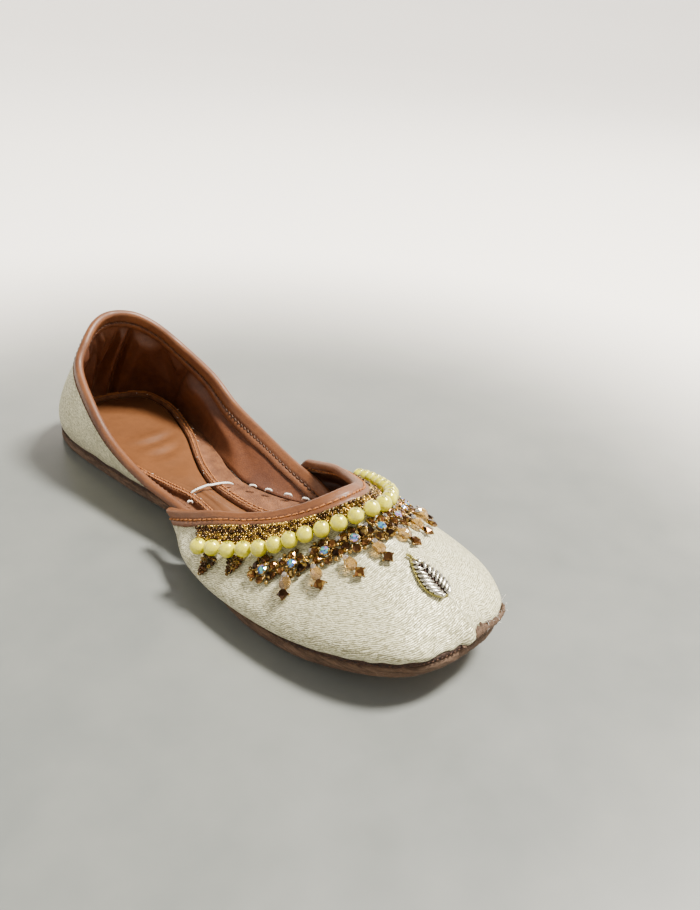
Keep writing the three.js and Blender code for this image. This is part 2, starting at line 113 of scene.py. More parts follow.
# Half of the sole's outline from heel to toe: share of the length, then in half widths the half width, the
# shift of its middle, and the margin from the edge to the insole, right and left.
OUTLINE = [
    (0, 0, 0, 0.17, 0.17),
    (0.005, 0.24, 0, 0.17, 0.17),
    (0.018, 0.46, 0, 0.17, 0.17),
    (0.045, 0.62, 0, 0.17, 0.17),
    (0.085, 0.69, 0, 0.17, 0.17),
    (0.143, 0.71, 0, 0.17, 0.18),
    (0.25, 0.645, -0.025, 0.17, 0.26),
    (0.34, 0.545, -0.07, 0.17, 0.345),
    (0.4, 0.465, -0.115, 0.19, 0.37),
    (0.457, 0.43, -0.13, 0.22, 0.41),
    (0.522, 0.53, -0.11, 0.27, 0.49),
    (0.58, 0.705, -0.065, 0.29, 0.46),
    (0.637, 0.885, -0.025, 0.26, 0.31),
    (0.694, 0.99, 0, 0.2, 0.22),
    (0.755, 1.01, 0, 0.175, 0.18),
    (0.816, 0.98, 0, 0.17, 0.17),
    (0.865, 0.915, 0, 0.17, 0.17),
    (0.914, 0.81, 0, 0.17, 0.17),
    (0.949, 0.7, 0, 0.17, 0.17),
    (0.978, 0.56, 0, 0.17, 0.17),
    (0.992, 0.4, 0, 0.17, 0.17),
    (0.999, 0.2, 0, 0.17, 0.17),
    (1, 0, 0, 0.17, 0.17),
]
TOE = len(OUTLINE) - 1

# Half of the quarters from the heel to the wing's end: row of the outline, top edge as shares of the length,
# half width and collar rise, outward swell as a share, and how late the wall leans to its top.
QUARTERS = [
    (0.0, 0.088, 0.0, 1.07, 0.4, 1.3),
    (1.3, 0.103, 0.25, 1.047, 0.4, 1.3),
    (2.7, 0.127, 0.47, 0.94, 0.36, 1.3),
    (4.2, 0.156, 0.665, 0.77, 0.27, 1.3),
    (5.3, 0.236, 0.788, 0.572, 0.175, 1.2),
    (6.4, 0.307, 0.814, 0.376, 0.1, 1.1),
    (8.0, 0.402, 0.8, 0.247, 0.05, 1.0),
    (9.6, 0.49, 0.745, 0.186, 0.04, 1.0),
    (10.5, 0.547, 0.73, 0.16, 0.03, 1.0),
    (11.4, 0.604, 0.75, 0.13, 0.0, 1.0),
    (12.1, 0.645, 0.85, 0.09, 0.0, 1.0),
]

# Half of the vamp from the toe to its rear corner, in the same columns, with the throat's rise.
VAMP = [
    (22.0, 0.742, 0.0, 0.975, 0.3, 1.65),
    (20.6, 0.734, 0.19, 0.93, 0.325, 1.65),
    (19.0, 0.715, 0.345, 0.84, 0.4, 1.75),
    (17.2, 0.685, 0.5, 0.735, 0.45, 2.0),
    (15.4, 0.642, 0.64, 0.63, 0.55, 1.9),
    (14.0, 0.602, 0.735, 0.555, 0.75, 1.6),
    (12.8, 0.565, 0.8, 0.455, 1.0, 1.3),
    (11.8, 0.53, 0.845, 0.36, 1.0, 1.1),
    (10.9, 0.496, 0.875, 0.28, 0.575, 1.0),
]


# Curves and surfaces of the last


def smooth(value, low, high):
    """A soft step from 0 at low to 1 at high."""
    share = np.clip((np.asarray(value, float) - low) / (high - low), 0, 1)
    return share * share * (3 - 2 * share)


def hump(value, middle, reach):
    """A soft bump of height 1 around a middle value."""
    return np.exp(-(((np.asarray(value, float) - middle) / reach) ** 2))


def between(rows, place, closed=False):
    """Smooth values between the rows of a table, at places counted in rows."""
    rows = np.asarray(rows, float)
    place = np.asarray(place, float)
    count = len(rows)
    base = np.floor(place).astype(int)
    if not closed:
        base = np.clip(base, 0, count - 2)
    f = (place - base)[..., None]
    before, here, after, later = (
        rows[(base + n) % count] if closed else rows[np.clip(base + n, 0, count - 1)] for n in (-1, 0, 1, 2)
    )
    slope = (after - before) / 2
    leaving = (later - here) / 2
    rise = after - here
    return here + f * (slope + f * (3 * rise - 2 * slope - leaving + f * (slope + leaving - 2 * rise)))


def edge_rows(sign):
    """One side of the sole's edge from heel to toe: x, y and the insole's margin."""
    return [
        (
            HALF_WIDTH * (shift + sign * out),
            LENGTH * (0.5 - along),
            HALF_WIDTH * (left if sign > 0 else right),
        )
        for along, out, shift, right, left in OUTLINE
    ]


EDGE = np.array(edge_rows(1) + edge_rows(-1)[1:-1][::-1])


def edge_point(place, inset):
    """Points of the sole's edge moved inwards, their outward directions, and the insole's margins there."""
    here = between(EDGE, place, True)
    before = between(EDGE, np.asarray(place) - 0.15, True)
    after = between(EDGE, np.asarray(place) + 0.15, True)
    out = np.stack([before[..., 1] - after[..., 1], after[..., 0] - before[..., 0]], -1)
    out /= np.linalg.norm(out, axis=-1, keepdims=True)
    at = here[..., :2] - out * np.asarray(inset, float)[..., None]
    return at, out, here[..., 2]


def ground_lift(y):
    """Height of the sole's underside over the floor."""
    along = 0.5 - np.asarray(y) / LENGTH
    arch = np.clip((along - 0.3) / 0.3, 0, 1)
    spring = np.clip((along - 0.67) / 0.33, 0, None)
    return ARCH_LIFT * np.sin(np.pi * arch) ** 2 + TOE_SPRING * spring**2


def heel_padding(y):
    """Extra thickness of the insole under the heel."""
    return HEEL_PADDING * (1 - smooth(0.5 - np.asarray(y) / LENGTH, 0.04, 0.26))


def corner_trim(place):
    """How far the sole is worn back at the toe's far corner."""
    return CORNER_WEAR * hump(place, TOE - 3.6, 1.9)


def sole_level(place, inset, height):
    """Points over the sole's plan, an inset inside its edge and a height above the lifted ground."""
    at, _, _ = edge_point(place, inset)
    z = ground_lift(at[..., 1]) + height
    return np.concatenate([at, z[..., None]], -1)


def run_length(line):
    """How far along a line of points each point lies."""
    return np.concatenate([[0], np.cumsum(np.linalg.norm(np.diff(line, axis=0), axis=1))])


def unit(v):
    """Directions of length 1."""
    return v / np.maximum(np.linalg.norm(v, axis=-1, keepdims=True), 1e-12)


class Wall:
    """The side of the quarters or of the vamp as a surface.

    t runs from the right end (-1) over the middle to the left end (1), v from the seam (0) to the top (1).
    NUDGE is the step that slopes are measured with, and SWELL_SCALE brings a swell's highest place to 1.
    """

    NUDGE = 0.005
    SWELL_SCALE = 6.75

    def __init__(self, half, turn, rise, facing, droop=0.0):
        right = [(2 * turn - row[0], row[1], -row[2], *row[3:]) for row in half[1:]]
        self.path = np.array(right[::-1] + list(half), float)
        self.rise = rise
        self.facing = facing
        self.droop = droop

    def point(self, t, v):
        """Points of the wall's outside."""
        t, v = np.broadcast_arrays(np.asarray(t, float), np.asarray(v, float))
        row = between(self.path, (t + 1) / 2 * (len(self.path) - 1))
        place, along, out, up, swell, lean = np.moveaxis(row, -1, 0)
        foot, outward, _ = edge_point(place, FOOT_INSET)
        seam = ground_lift(foot[..., 1]) + SEAM
        top = np.stack([HALF_WIDTH * out, LENGTH * (0.5 - along)], -1)
        share = (np.clip(v, 0, None) ** lean)[..., None]
        at = foot + (top - foot) * share
        at = at + outward * (SIDE_SWELL * swell * self.SWELL_SCALE * v * (1 - v) ** 2)[..., None]
        z = seam + (SEAM + self.rise * up - seam - self.droop * smooth(t, 0.9, 1.0)) * v
        return np.concatenate([at, z[..., None]], -1)

    def normal(self, t, v):
        """Unit directions out of the wall."""
        t, v = np.broadcast_arrays(np.asarray(t, float), np.asarray(v, float))
        n = self.NUDGE
        along = self.point(np.minimum(t + n, 1), v) - self.point(np.maximum(t - n, -1), v)
        level = np.minimum(v, 1 - n)
        up = self.point(t, level + n) - self.point(t, np.maximum(level - n, 0))
        return unit(np.cross(along, up)) * self.facing

    def raised(self, t, v, height):
        """Points at a height over the wall's outside."""
        return self.point(t, v) + self.normal(t, v) * np.asarray(height, float)[..., None]

    def below(self, t, depth):
        """The level at a depth under the top edge, measured down the wall."""
        t = np.atleast_1d(np.asarray(t, float))
        depth = np.broadcast_to(np.asarray(depth, float), t.shape)
        levels = np.linspace(1, 0, 41)
        line = self.point(t[:, None], levels[None])
        steps = np.linalg.norm(np.diff(line, axis=1), axis=-1)
        run = np.concatenate([np.zeros((len(t), 1)), np.cumsum(steps, 1)], 1)
        return np.array([np.interp(d, r, levels) for d, r in zip(depth, run)])

    def along(self, depth, start, end, shares):
        """The length of a line at one depth under the top edge, and its t at shares of that length."""
        t = np.linspace(start, end, 161)
        line = self.point(t, self.below(t, depth))
        run = run_length(line)
        return run[-1], np.interp(np.asarray(shares) * run[-1], run, t)

    @functools.lru_cache(maxsize=4096)
    def local(self, t, v):
        """At one place: steps per t and per v, and unit directions along the edge, up and out."""
        n = self.NUDGE
        ends = self.point(np.array([t + n, t - n, t, t]), np.array([v, v, v + n, v - n]))
        per_t = (ends[0] - ends[1]) / (2 * n)
        per_v = (ends[2] - ends[3]) / (2 * n)
        out = self.normal(t, v)
        across = unit(per_t)
        return per_t, per_v, across, np.cross(out * self.facing, across), out

    def axes(self, t, v):
        """Unit directions at one place: along the top edge, up to it, and out of the wall."""
        return self.local(float(t), float(v))[2:]

    def wrap(self, points, t, v):
        """Points of a flat ornament laid on the wall: x along the top edge, y up to it, z out of the wall."""
        points = np.asarray(points, float)
        per_t, per_v, across, up, _ = self.local(float(t), float(v))
        dv = points[..., 1] / per_v.dot(up)
        dt = (points[..., 0] - dv * per_v.dot(across)) / np.linalg.norm(per_t)
        return self.raised(t + dt, v + dv, GAP + points[..., 2])


quarters = Wall(QUARTERS, 0, COLLAR_RISE, -1)
vamp = Wall(VAMP, TOE, THROAT_RISE, 1, CORNER_DROOP)


def frame_offset():
    """Where the last's own origin lies in the frame, from the outsole's box."""
    low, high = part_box("outsole")
    at, _, _ = edge_point(np.linspace(0, len(EDGE), 400), 0)
    own = (at.min(0) + at.max(0)) / 2
    middle = (low + high) / 2 / MM
    return np.array([middle.x - own[0], middle.y - own[1], 0.0])


OFFSET = frame_offset()


# Meshes


class Heap:
    """Gathers points and faces of many shapes into one mesh, with a shade from 0 to 1 for each shape."""

    def __init__(self):
        self.points, self.faces, self.finish, self.shades, self.across = [], [], [], [], []
        self.count = 0

    def add(self, points, faces, finish=0, shade=0.5, across=None):
        points = np.asarray(points, float).reshape(-1, 3)
        across = np.zeros(points.shape) if across is None else np.asarray(across, float).reshape(-1, 3)
        self.points.append(points)
        self.faces.extend([tuple(int(i) + self.count for i in face) for face in faces])
        self.finish.extend([finish] * len(faces))
        self.shades.append(np.full(len(points), shade) if np.isscalar(shade) else np.asarray(shade, float))
        self.across.append(across)
        self.count += len(points)

    def piece(self, name, materials, slot, replaces=(), cut=()):
        """The object on its body, with the named materials; the faces of the finishes in cut stay flat."""
        mesh = bpy.data.meshes.new(name)
        points = (np.concatenate(self.points) + OFFSET) * MM
        mesh.from_pydata(points.tolist(), [], self.faces)
        for material in materials:
            mesh.materials.append(paint(material))
        mesh.polygons.foreach_set("material_index", np.array(self.finish, np.int32))
        mesh.polygons.foreach_set("use_smooth", ~np.isin(self.finish, cut))
        shade = mesh.attributes.new("shade", "FLOAT", "POINT")
        shade.data.foreach_set("value", np.concatenate(self.shades).astype(np.float32))
        across = mesh.attributes.new("across", "FLOAT_VECTOR", "POINT")
        across.data.foreach_set("vector", (np.concatenate(self.across) * MM).astype(np.float32).ravel())
        mesh.update()
        obj = bpy.data.objects.new(name, mesh)
        bpy.context.scene.collection.objects.link(obj)
        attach(obj, BODY)
        if replaces:
            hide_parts(*replaces)
        return obj


def facing_out(points, faces):
    """The faces of a closed surface, all turned round where they enclose a negative volume."""
    points = np.asarray(points, float).reshape(-1, 3)
    fans = np.array([(face[0], face[k], face[k + 1]) for face in faces for k in range(1, len(face) - 1)])
    a, b, c = points[fans[:, 0]], points[fans[:, 1]], points[fans[:, 2]]
    volume = np.einsum("ij,ij", a, np.cross(b, c))
    return faces if volume > 0 else [face[::-1] for face in faces]


def grid_faces(rows, columns, first=0, closed_rows=False, closed_columns=False):
    """Quads over a grid of points, with either direction closed on itself."""
    faces = []
    for i in range(rows if closed_rows else rows - 1):
        one, two = first + i * columns, first + (i + 1) % rows * columns
        for j in range(columns if closed_columns else columns - 1):
            n = (j + 1) % columns
            faces.append((one + j, two + j, two + n, one + n))
    return faces


def add_loft(heap, sections, finish=0, closed=False, shade=0.5, across=None):
    """A closed skin over equal closed sections, with its two ends capped unless it closes on itself."""
    sections = np.asarray(sections, float)
    rows, columns = sections.shape[:2]
    faces = grid_faces(rows, columns, closed_rows=closed, closed_columns=True)
    if not closed:
        faces.append(tuple(range(columns)))
        faces.append(tuple((rows - 1) * columns + k for k in range(columns))[::-1])
    heap.add(sections, facing_out(sections, faces), finish, shade, across)


def add_shell(heap, outer, inner, across=None, finish=0):
    """A closed shell: the skins over two grids of points and the four edges that join them."""
    rows, columns = outer.shape[:2]
    base = rows * columns
    faces = grid_faces(rows, columns)
    back = [face[::-1] for face in grid_faces(rows, columns, base)]
    rim = []
    for j in range(columns - 1):
        rim.append((j, j + 1, base + j + 1, base + j))
        last = (rows - 1) * columns
        rim.append((last + j + 1, last + j, base + last + j, base + last + j + 1))
    for i in range(rows - 1):
        one, two = i * columns, (i + 1) * columns
        rim.append((two, one, base + one, base + two))
        end = columns - 1
        rim.append((one + end, two + end, base + two + end, base + one + end))
    points = np.concatenate([outer.reshape(-1, 3), inner.reshape(-1, 3)])
    both = None if across is None else np.concatenate([across.reshape(-1, 3)] * 2)
    heap.add(points, facing_out(points, faces + back + rim), finish, 0.5, both)


def ring(count, radius=1.0, z=0.0, turn=0.0):
    """Points of a circle round the z axis."""
    angles = 2 * np.pi * np.arange(count) / count + turn
    return [(radius * math.cos(a), radius * math.sin(a), z) for a in angles]


def ball(segments, rings):
    """Points and faces of a unit ball."""
    points = [(0, 0, 1)]
    for level in np.linspace(0, np.pi, rings + 1)[1:-1]:
        points += ring(segments, math.sin(level), math.cos(level))
    points.append((0, 0, -1))
    faces = [(0, 1 + k, 1 + (k + 1) % segments) for k in range(segments)]
    faces += [face[::-1] for face in grid_faces(rings - 1, segments, 1, closed_columns=True)]
    last = len(points) - 1
    start = last - segments
    faces += [(last, start + (k + 1) % segments, start + k) for k in range(segments)]
    return np.array(points), facing_out(points, faces)


def ring_bead(segments=8, sides=6, hole=0.32):
    """A seed bead of unit radius, round its hole along z."""
    thick = (1 - hole) / 2
    points = []
    for x, y, _ in ring(segments):
        for out, up, _ in ring(sides):
            r = hole + thick + thick * out
            points.append((r * x, r * y, 0.8 * up))
    faces = grid_faces(segments, sides, closed_rows=True, closed_columns=True)
    return np.array(points), facing_out(points, faces)


def cut_stone(sides=8, table=0.55, depth=0.75, crown=0.32):
    """A faceted stone of unit radius on z = 0, with a flat table and a crown of kite-like facets."""
    points = ring(sides, 0.8) + ring(sides, 1.0, depth - crown) + ring(sides, table, depth, np.pi / sides)
    faces = [tuple(range(sides))[::-1]]
    for k in range(sides):
        n = (k + 1) % sides
        faces.append((k, n, sides + n, sides + k))
        faces.append((sides + k, sides + n, 2 * sides + k))
        faces.append((sides + n, 2 * sides + n, 2 * sides + k))
    faces.append(tuple(2 * sides + k for k in range(sides)))
    return np.array(points), facing_out(points, faces)


def drop_stone(sides=8):
    """A faceted drop of unit half length along y and unit half width, flat side down on z = -1."""
    stations = [(-1.0, 0.28), (-0.72, 0.8), (-0.25, 1.0), (0.3, 0.72), (0.8, 0.24), (1.0, 0.04)]
    points = []
    for row, (y, r) in enumerate(stations):
        for k in range(sides):
            a = 2 * np.pi * (k + 0.5 * (row % 2)) / sides
            points.append((r * math.cos(a), y, max(r * math.sin(a), -0.8)))
    faces = []
    for row in range(len(stations) - 1):
        for k in range(sides):
            n = (k + 1) % sides
            one, two = row * sides, (row + 1) * sides
            if row % 2:
                faces += [(one + k, one + n, two + n), (one + k, two + n, two + k)]
            else:
                faces += [(one + k, one + n, two + k), (one + n, two + n, two + k)]
    faces.append(tuple(range(sides))[::-1])
    faces.append(tuple((len(stations) - 1) * sides + k for k in range(sides)))
    return np.array(points), facing_out(points, faces)


def add_tube(heap, path, radius, sides=6, finish=0, shade=0.5, taper=0.0):
    """A round cord along a path, with round ends; taper narrows it at both ends."""
    path = np.asarray(path, float)
    count = len(path)
    ahead = unit(np.gradient(path, axis=0))
    hint = np.array([0.0, 0.0, 1.0]) if abs(ahead[0][2]) < 0.9 else np.array([1.0, 0.0, 0.0])
    side = unit(np.cross(ahead, hint))
    for k in range(1, count):
        side[k] = unit(side[k - 1] - ahead[k] * ahead[k].dot(side[k - 1]))
    up = np.cross(ahead, side)
    share = np.linspace(-1, 1, count)
    width = np.asarray(radius) * np.sqrt(np.clip(1 - taper * share**4, 0.02, 1))
    turns = np.linspace(0, 2 * np.pi, sides, endpoint=False)
    circle = side[:, None] * np.cos(turns)[None, :, None] + up[:, None] * np.sin(turns)[None, :, None]
    sections = path[:, None] + circle * np.broadcast_to(width, count)[:, None, None]
    across = np.zeros((count, sides, 3))
    across[..., 0] = run_length(path)[:, None]
    across[..., 1] = (turns / (2 * np.pi))[None]
    add_loft(heap, sections, finish, shade=shade, across=across)


def placed(points, at, across, up, out, size):
    """The points of a unit shape, scaled, turned to three directions and moved."""
    size = np.broadcast_to(np.asarray(size, float), 3)
    p = np.asarray(points) * size
    return at + p[:, :1] * across + p[:, 1:2] * up + p[:, 2:] * out


# Shader building


class Graph:
    """A short way to add and link shader nodes."""

    def __init__(self, tree):
        self.tree = tree

    def add(self, kind, inputs=None, **settings):
        node = self.tree.nodes.new(kind)
        for name, value in settings.items():
            setattr(node, name, value)
        for name, value in (inputs or {}).items():
            socket = node.inputs[name]
            if isinstance(value, bpy.types.NodeSocket):
                self.tree.links.new(value, socket)
            else:
                socket.default_value = value
        return node

    def math(self, operation, *values):
        return self.add("ShaderNodeMath", dict(enumerate(values)), operation=operation).outputs[0]

    def times(self, one, two, more=0.0):
        """The product of two values, plus a third."""
        return self.math("MULTIPLY_ADD", one, two, more)

    def mix(self, factor, one, two):
        return self.add("ShaderNodeMix", {0: factor, 6: one, 7: two}, data_type="RGBA").outputs[2]

    def over(self, base, tint, mask, strength):
        """A colour with another laid over it where a mask is light."""
        return self.mix(self.times(mask, strength), base, color(tint))

    def noise(self, vector, scale, detail=3.0, rough=0.55, distortion=0.0):
        inputs = {"Vector": vector, "Scale": scale, "Detail": detail, "Roughness": rough}
        return self.add("ShaderNodeTexNoise", inputs | {"Distortion": distortion}).outputs["Fac"]

    def ramp(self, factor, low, high):
        inputs = {"Value": factor, "From Min": low, "From Max": high}
        return self.add("ShaderNodeMapRange", inputs, interpolation_type="SMOOTHSTEP").outputs[0]

    def stretched(self, vector, **inputs):
        return self.add("ShaderNodeMapping", {"Vector": vector, **inputs}).outputs[0]

    def dot(self, vector, direction):
        inputs = {0: vector, 1: direction}
        return self.add("ShaderNodeVectorMath", inputs, operation="DOT_PRODUCT").outputs["Value"]

    def cells(self, scale):
        """Three separate random values from 0 to 1 for each cell of the surface."""
        voronoi = self.add("ShaderNodeTexVoronoi", {"Vector": self.place(), "Scale": scale})
        return self.add("ShaderNodeSeparateColor", {0: voronoi.outputs["Color"]}).outputs

    def place(self):
        return self.add("ShaderNodeTexCoord").outputs["Object"]

    def across(self):
        return self.add("ShaderNodeAttribute", attribute_name="across").outputs["Vector"]

    def shade(self):
        return self.add("ShaderNodeAttribute", attribute_name="shade").outputs["Fac"]


def color(value):
    """A socket's colour, from three numbers or from the name of a setting."""
    return (*(getattr(settings(), value) if isinstance(value, str) else value), 1.0)


def new_group(name, inputs, outputs):
    """An empty shader node group: its graph, its input sockets and its output sockets.

    An input without a value is a vector, one with a tuple a colour, and the others are plain numbers.
    """
    tree = bpy.data.node_groups.new(name, "ShaderNodeTree")
    for socket, value in inputs.items():
        kind = "Vector" if value is None else "Color" if isinstance(value, tuple) else "Float"
        made = tree.interface.new_socket(socket, in_out="INPUT", socket_type="NodeSocket" + kind)
        if value is not None:
            made.default_value = value
    for socket, kind in outputs.items():
        tree.interface.new_socket(socket, in_out="OUTPUT", socket_type="NodeSocket" + kind)
    graph = Graph(tree)
    return graph, graph.add("NodeGroupInput").outputs, graph.add("NodeGroupOutput").inputs


def finish_group(graph, leaving, **values):
    for name, socket in values.items():
        graph.tree.links.new(socket, leaving[name])
    return graph.tree


def build_mottle():
    """Cloudy change between two colours, in a large and a small size, and its mask."""
    inputs = {"Vector": None, "Scale": 60.0, "Dark": color((0.2, 0.1, 0.05)), "Light": color((0.5, 0.3, 0.2))}
    graph, entry, leaving = new_group("mottle", inputs, {"Color": "Color", "Mask": "Float"})
    broad = graph.noise(entry["Vector"], entry["Scale"], 4.0, 0.6)
    fine = graph.noise(entry["Vector"], graph.times(entry["Scale"], 9.0), 3.0, 0.6)
    mask = graph.ramp(graph.times(fine, 0.35, graph.times(broad, 0.75)), 0.35, 0.75)
    return finish_group(graph, leaving, Color=graph.mix(mask, entry["Dark"], entry["Light"]), Mask=mask)


def build_grain():
    """Pores and fine wrinkles of smooth leather, as a height."""
    inputs = {"Vector": None, "Scale": 900.0}
    graph, entry, leaving = new_group("leather grain", inputs, {"Height": "Float", "Pores": "Float"})
    cells = {"Vector": entry["Vector"], "Scale": entry["Scale"], "Randomness": 0.9}
    edges = graph.add("ShaderNodeTexVoronoi", cells, feature="DISTANCE_TO_EDGE").outputs["Distance"]
    pores = graph.ramp(edges, 0.0, 0.16)
    wrinkles = graph.noise(entry["Vector"], graph.times(entry["Scale"], 0.22), 5.0, 0.65, 0.6)
    return finish_group(graph, leaving, Height=graph.times(pores, 0.35, wrinkles), Pores=pores)


# Degrees by which the ribs of the cloth turn from the line of the throat
CREPE_ANGLE = -12.0


def build_crepe():
    """Short wavy ribs of metallic crepe cloth, as a height, and a mask of the threads that glint."""
    inputs = {"Vector": None, "Ribs": 460.0, "Wander": 7.0}
    graph, entry, leaving = new_group("crepe ribs", inputs, {"Height": "Float", "Glint": "Float"})
    turned = graph.stretched(entry["Vector"], Rotation=(0.0, 0.0, math.radians(CREPE_ANGLE)))
    waves = {"Vector": turned, "Scale": entry["Ribs"], "Distortion": entry["Wander"]}
    waves |= {"Detail": 3.0, "Detail Scale": 0.7, "Detail Roughness": 0.6}
    ribs = graph.add("ShaderNodeTexWave", waves, bands_direction="Y").outputs["Fac"]
    long = graph.stretched(turned, Scale=(0.5, 1.0, 1.0))
    dashes = graph.noise(long, graph.times(entry["Ribs"], 3.0), 2.0, 0.5, 0.8)
    thread = graph.noise(turned, graph.times(entry["Ribs"], 6.5), 3.0, 0.7)
    height = graph.times(thread, 0.32, graph.times(dashes, 0.72, graph.times(ribs, 0.22)))
    patches = graph.noise(entry["Vector"], graph.times(entry["Ribs"], 0.35), 2.0, 0.5)
    glint = graph.ramp(graph.times(patches, 0.25, height), 0.76, 0.95)
    return finish_group(graph, leaving, Height=height, Glint=glint)


def build_low_darkening():
    """A spotty mask that is strongest at the floor and fades out with height."""
    inputs = {"Vector": None, "Low": 0.0, "High": 0.02}
    graph, entry, leaving = new_group("darker near floor", inputs, {"Mask": "Float"})
    z = graph.add("ShaderNodeSeparateXYZ", {0: entry["Vector"]}).outputs["Z"]
    low = graph.ramp(z, entry["High"], entry["Low"])
    spots = graph.ramp(graph.noise(entry["Vector"], 240.0, 6.0, 0.7), 0.42, 0.72)
    return finish_group(graph, leaving, Mask=graph.times(low, graph.times(spots, 0.7, 0.3)))


def build_twist():
    """Turns of a twisted thread or a coiled wire along it, as a height."""
    graph, entry, leaving = new_group("twist", {"Vector": None, "Turns": 1500.0}, {"Height": "Float"})
    parts = graph.add("ShaderNodeSeparateXYZ", {0: entry["Vector"]}).outputs
    phase = graph.times(parts["X"], entry["Turns"], graph.times(parts["Y"], 2 * math.pi / MM))
    return finish_group(graph, leaving, Height=graph.times(graph.math("SINE", phase), 0.5, 0.5))


GROUP_BUILDERS = {
    "mottle": build_mottle,
    "grain": build_grain,
    "crepe": build_crepe,
    "wear": build_low_darkening,
    "twist": build_twist,
}


# Materials


class Paint:
    """One material: its graph, its Principled shader and the node groups that it places."""

    groups = {}

    def __init__(self, name, **values):
        self.material = bpy.data.materials.new("slipper " + name)
        self.material.use_nodes = True
        self.graph = Graph(self.material.node_tree)
        self.shader = self.material.node_tree.nodes["Principled BSDF"]
        for socket, value in {"Specular_IOR_Level": 0.35, **values}.items():
            self.shader.inputs[socket.replace("_", " ")].default_value = value

    def group(self, name, **inputs):
        if name not in self.groups:
            self.groups[name] = GROUP_BUILDERS[name]()
        return self.graph.add("ShaderNodeGroup", inputs, node_tree=self.groups[name]).outputs

    def tone(self, vector, scale, dark, light):
        return self.group("mottle", Vector=vector, Scale=scale, Dark=color(dark), Light=color(light))

    def bump(self, height, distance, strength):
        inputs = {"Height": height, "Distance": distance, "Strength": strength}
        return self.graph.add("ShaderNodeBump", inputs).outputs["Normal"]

    def made(self, **sockets):
        """The material, with values linked to its shader."""
        for socket, value in sockets.items():
            self.graph.tree.links.new(value, self.shader.inputs[socket.replace("_", " ")])
        return self.material


def make_leather(name, dark, light, clouds, rough, pores, depth, coat=0.0, darken_below=0.0):
    """Smooth leather with pores, fine wrinkles, cloudy colour and gloss that changes with it."""
    paint = Paint(name, Coat_Weight=coat, Coat_Roughness=0.28)
    graph = paint.graph
    place = graph.place()
    tone = paint.tone(place, clouds, dark, light)
    grain = paint.group("grain", Vector=place, Scale=pores)
    holes = graph.math("SUBTRACT", 1.0, grain["Pores"])
    base = graph.over(tone["Color"], [0.45 * c for c in dark], holes, 0.35)
    if darken_below:
        # Darker towards the floor, in spots, below the given height.
        worn = paint.group("wear", Vector=place, Low=0.0, High=darken_below)
        base = graph.over(base, (0.16, 0.14, 0.12), worn["Mask"], 0.5)
    gloss = graph.times(tone["Mask"], -0.1, graph.times(grain["Height"], 0.12, rough))
    return paint.made(Base_Color=base, Roughness=gloss, Normal=paint.bump(grain["Height"], depth, 0.7))


def make_cloth(name, dark, light):
    """Ivory crepe: painted shade in the valleys between its ribs, painted highlights on the threads that
    glint, and darker towards the sole.
    """
    paint = Paint(name, Sheen_Weight=0.15, Sheen_Roughness=0.5)
    graph = paint.graph
    place = graph.place()
    ribs = paint.group("crepe", Vector=graph.across())
    tone = paint.tone(place, 34.0, dark, light)
    # Painted shade: the valleys between the ribs are darkened towards dark olive.
    painted_valley_shade = graph.ramp(ribs["Height"], 0.71, 0.45)
    base = graph.over(tone["Color"], (0.115, 0.11, 0.055), painted_valley_shade, 0.85)
    # Painted highlight: the glinting threads are lightened towards pale gold.
    base = graph.over(base, (0.95, 0.925, 0.68), ribs["Glint"], 0.8)
    # Darker towards the floor, in spots, near the sole.
    worn = paint.group("wear", Vector=place, Low=0.004, High=0.013)
    base = graph.over(base, (0.2, 0.16, 0.1), worn["Mask"], 0.35)
    return paint.made(
        Base_Color=base,
        Roughness=graph.times(ribs["Glint"], -0.3, 0.6),
        Metallic=graph.times(ribs["Glint"], 0.4),
        Normal=paint.bump(ribs["Height"], 0.0003, 1.0),
    )


def make_cut_edge(name, dark, light, rough):
    """Cut and worn leather edge: fibres in layers along the edge, with lighter torn ones."""
    paint = Paint(name)
    graph = paint.graph
    place = graph.place()
    layers = graph.stretched(place, Scale=(1.0, 1.0, 9.0))
    tone = paint.tone(layers, 130.0, dark, light)
    fibres = graph.noise(layers, 520.0, 6.0, 0.72, 0.4)
    torn = graph.ramp(fibres, 0.54, 0.72)
    base = graph.over(tone["Color"], [min(1.0, 1.9 * c + 0.04) for c in light], torn, 0.6)
    # Darker towards the floor, in spots, at the foot of the edge.
    worn = paint.group("wear", Vector=place, Low=0.0, High=0.0035)
    base = graph.over(base, (0.07, 0.055, 0.045), worn["Mask"], 0.6)
    gloss = graph.times(torn, 0.12, rough)
    return paint.made(Base_Color=base, Roughness=gloss, Normal=paint.bump(fibres, 0.0006, 0.8))


def make_thread(name, dark, light):
    """Twisted sewing thread, with painted highlights on the crests of its twist."""
    paint = Paint(name, Roughness=0.7)
    graph = paint.graph
    twist = paint.group("twist", Vector=graph.across(), Turns=5200.0)["Height"]
    tone = paint.tone(graph.place(), 420.0, dark, light)
    # Painted highlight: the crests of the twist are lightened.
    base = graph.over(tone["Color"], [min(1.0, 1.35 * c) for c in light], twist, 0.35)
    return paint.made(Base_Color=base, Normal=paint.bump(twist, 0.00012, 0.8))


def make_metal(name, dark, light, rough, metallic=1.0, coat=0.0, turns=0.0):
    """Beads, settings and wire: metal whose tone changes from piece to piece."""
    paint = Paint(name, Metallic=metallic, Coat_Weight=coat, Coat_Roughness=0.05)
    graph = paint.graph
    tone = paint.tone(graph.place(), 600.0, dark, light)
    if turns:
        twist = paint.group("twist", Vector=graph.across(), Turns=turns)
        paint.made(Normal=paint.bump(twist["Height"], 0.0003, 0.9))
    base = graph.mix(graph.ramp(graph.shade(), 0.1, 0.9), color(dark), tone["Color"])
    return paint.made(Base_Color=base, Roughness=graph.times(tone["Mask"], 0.15, rough))


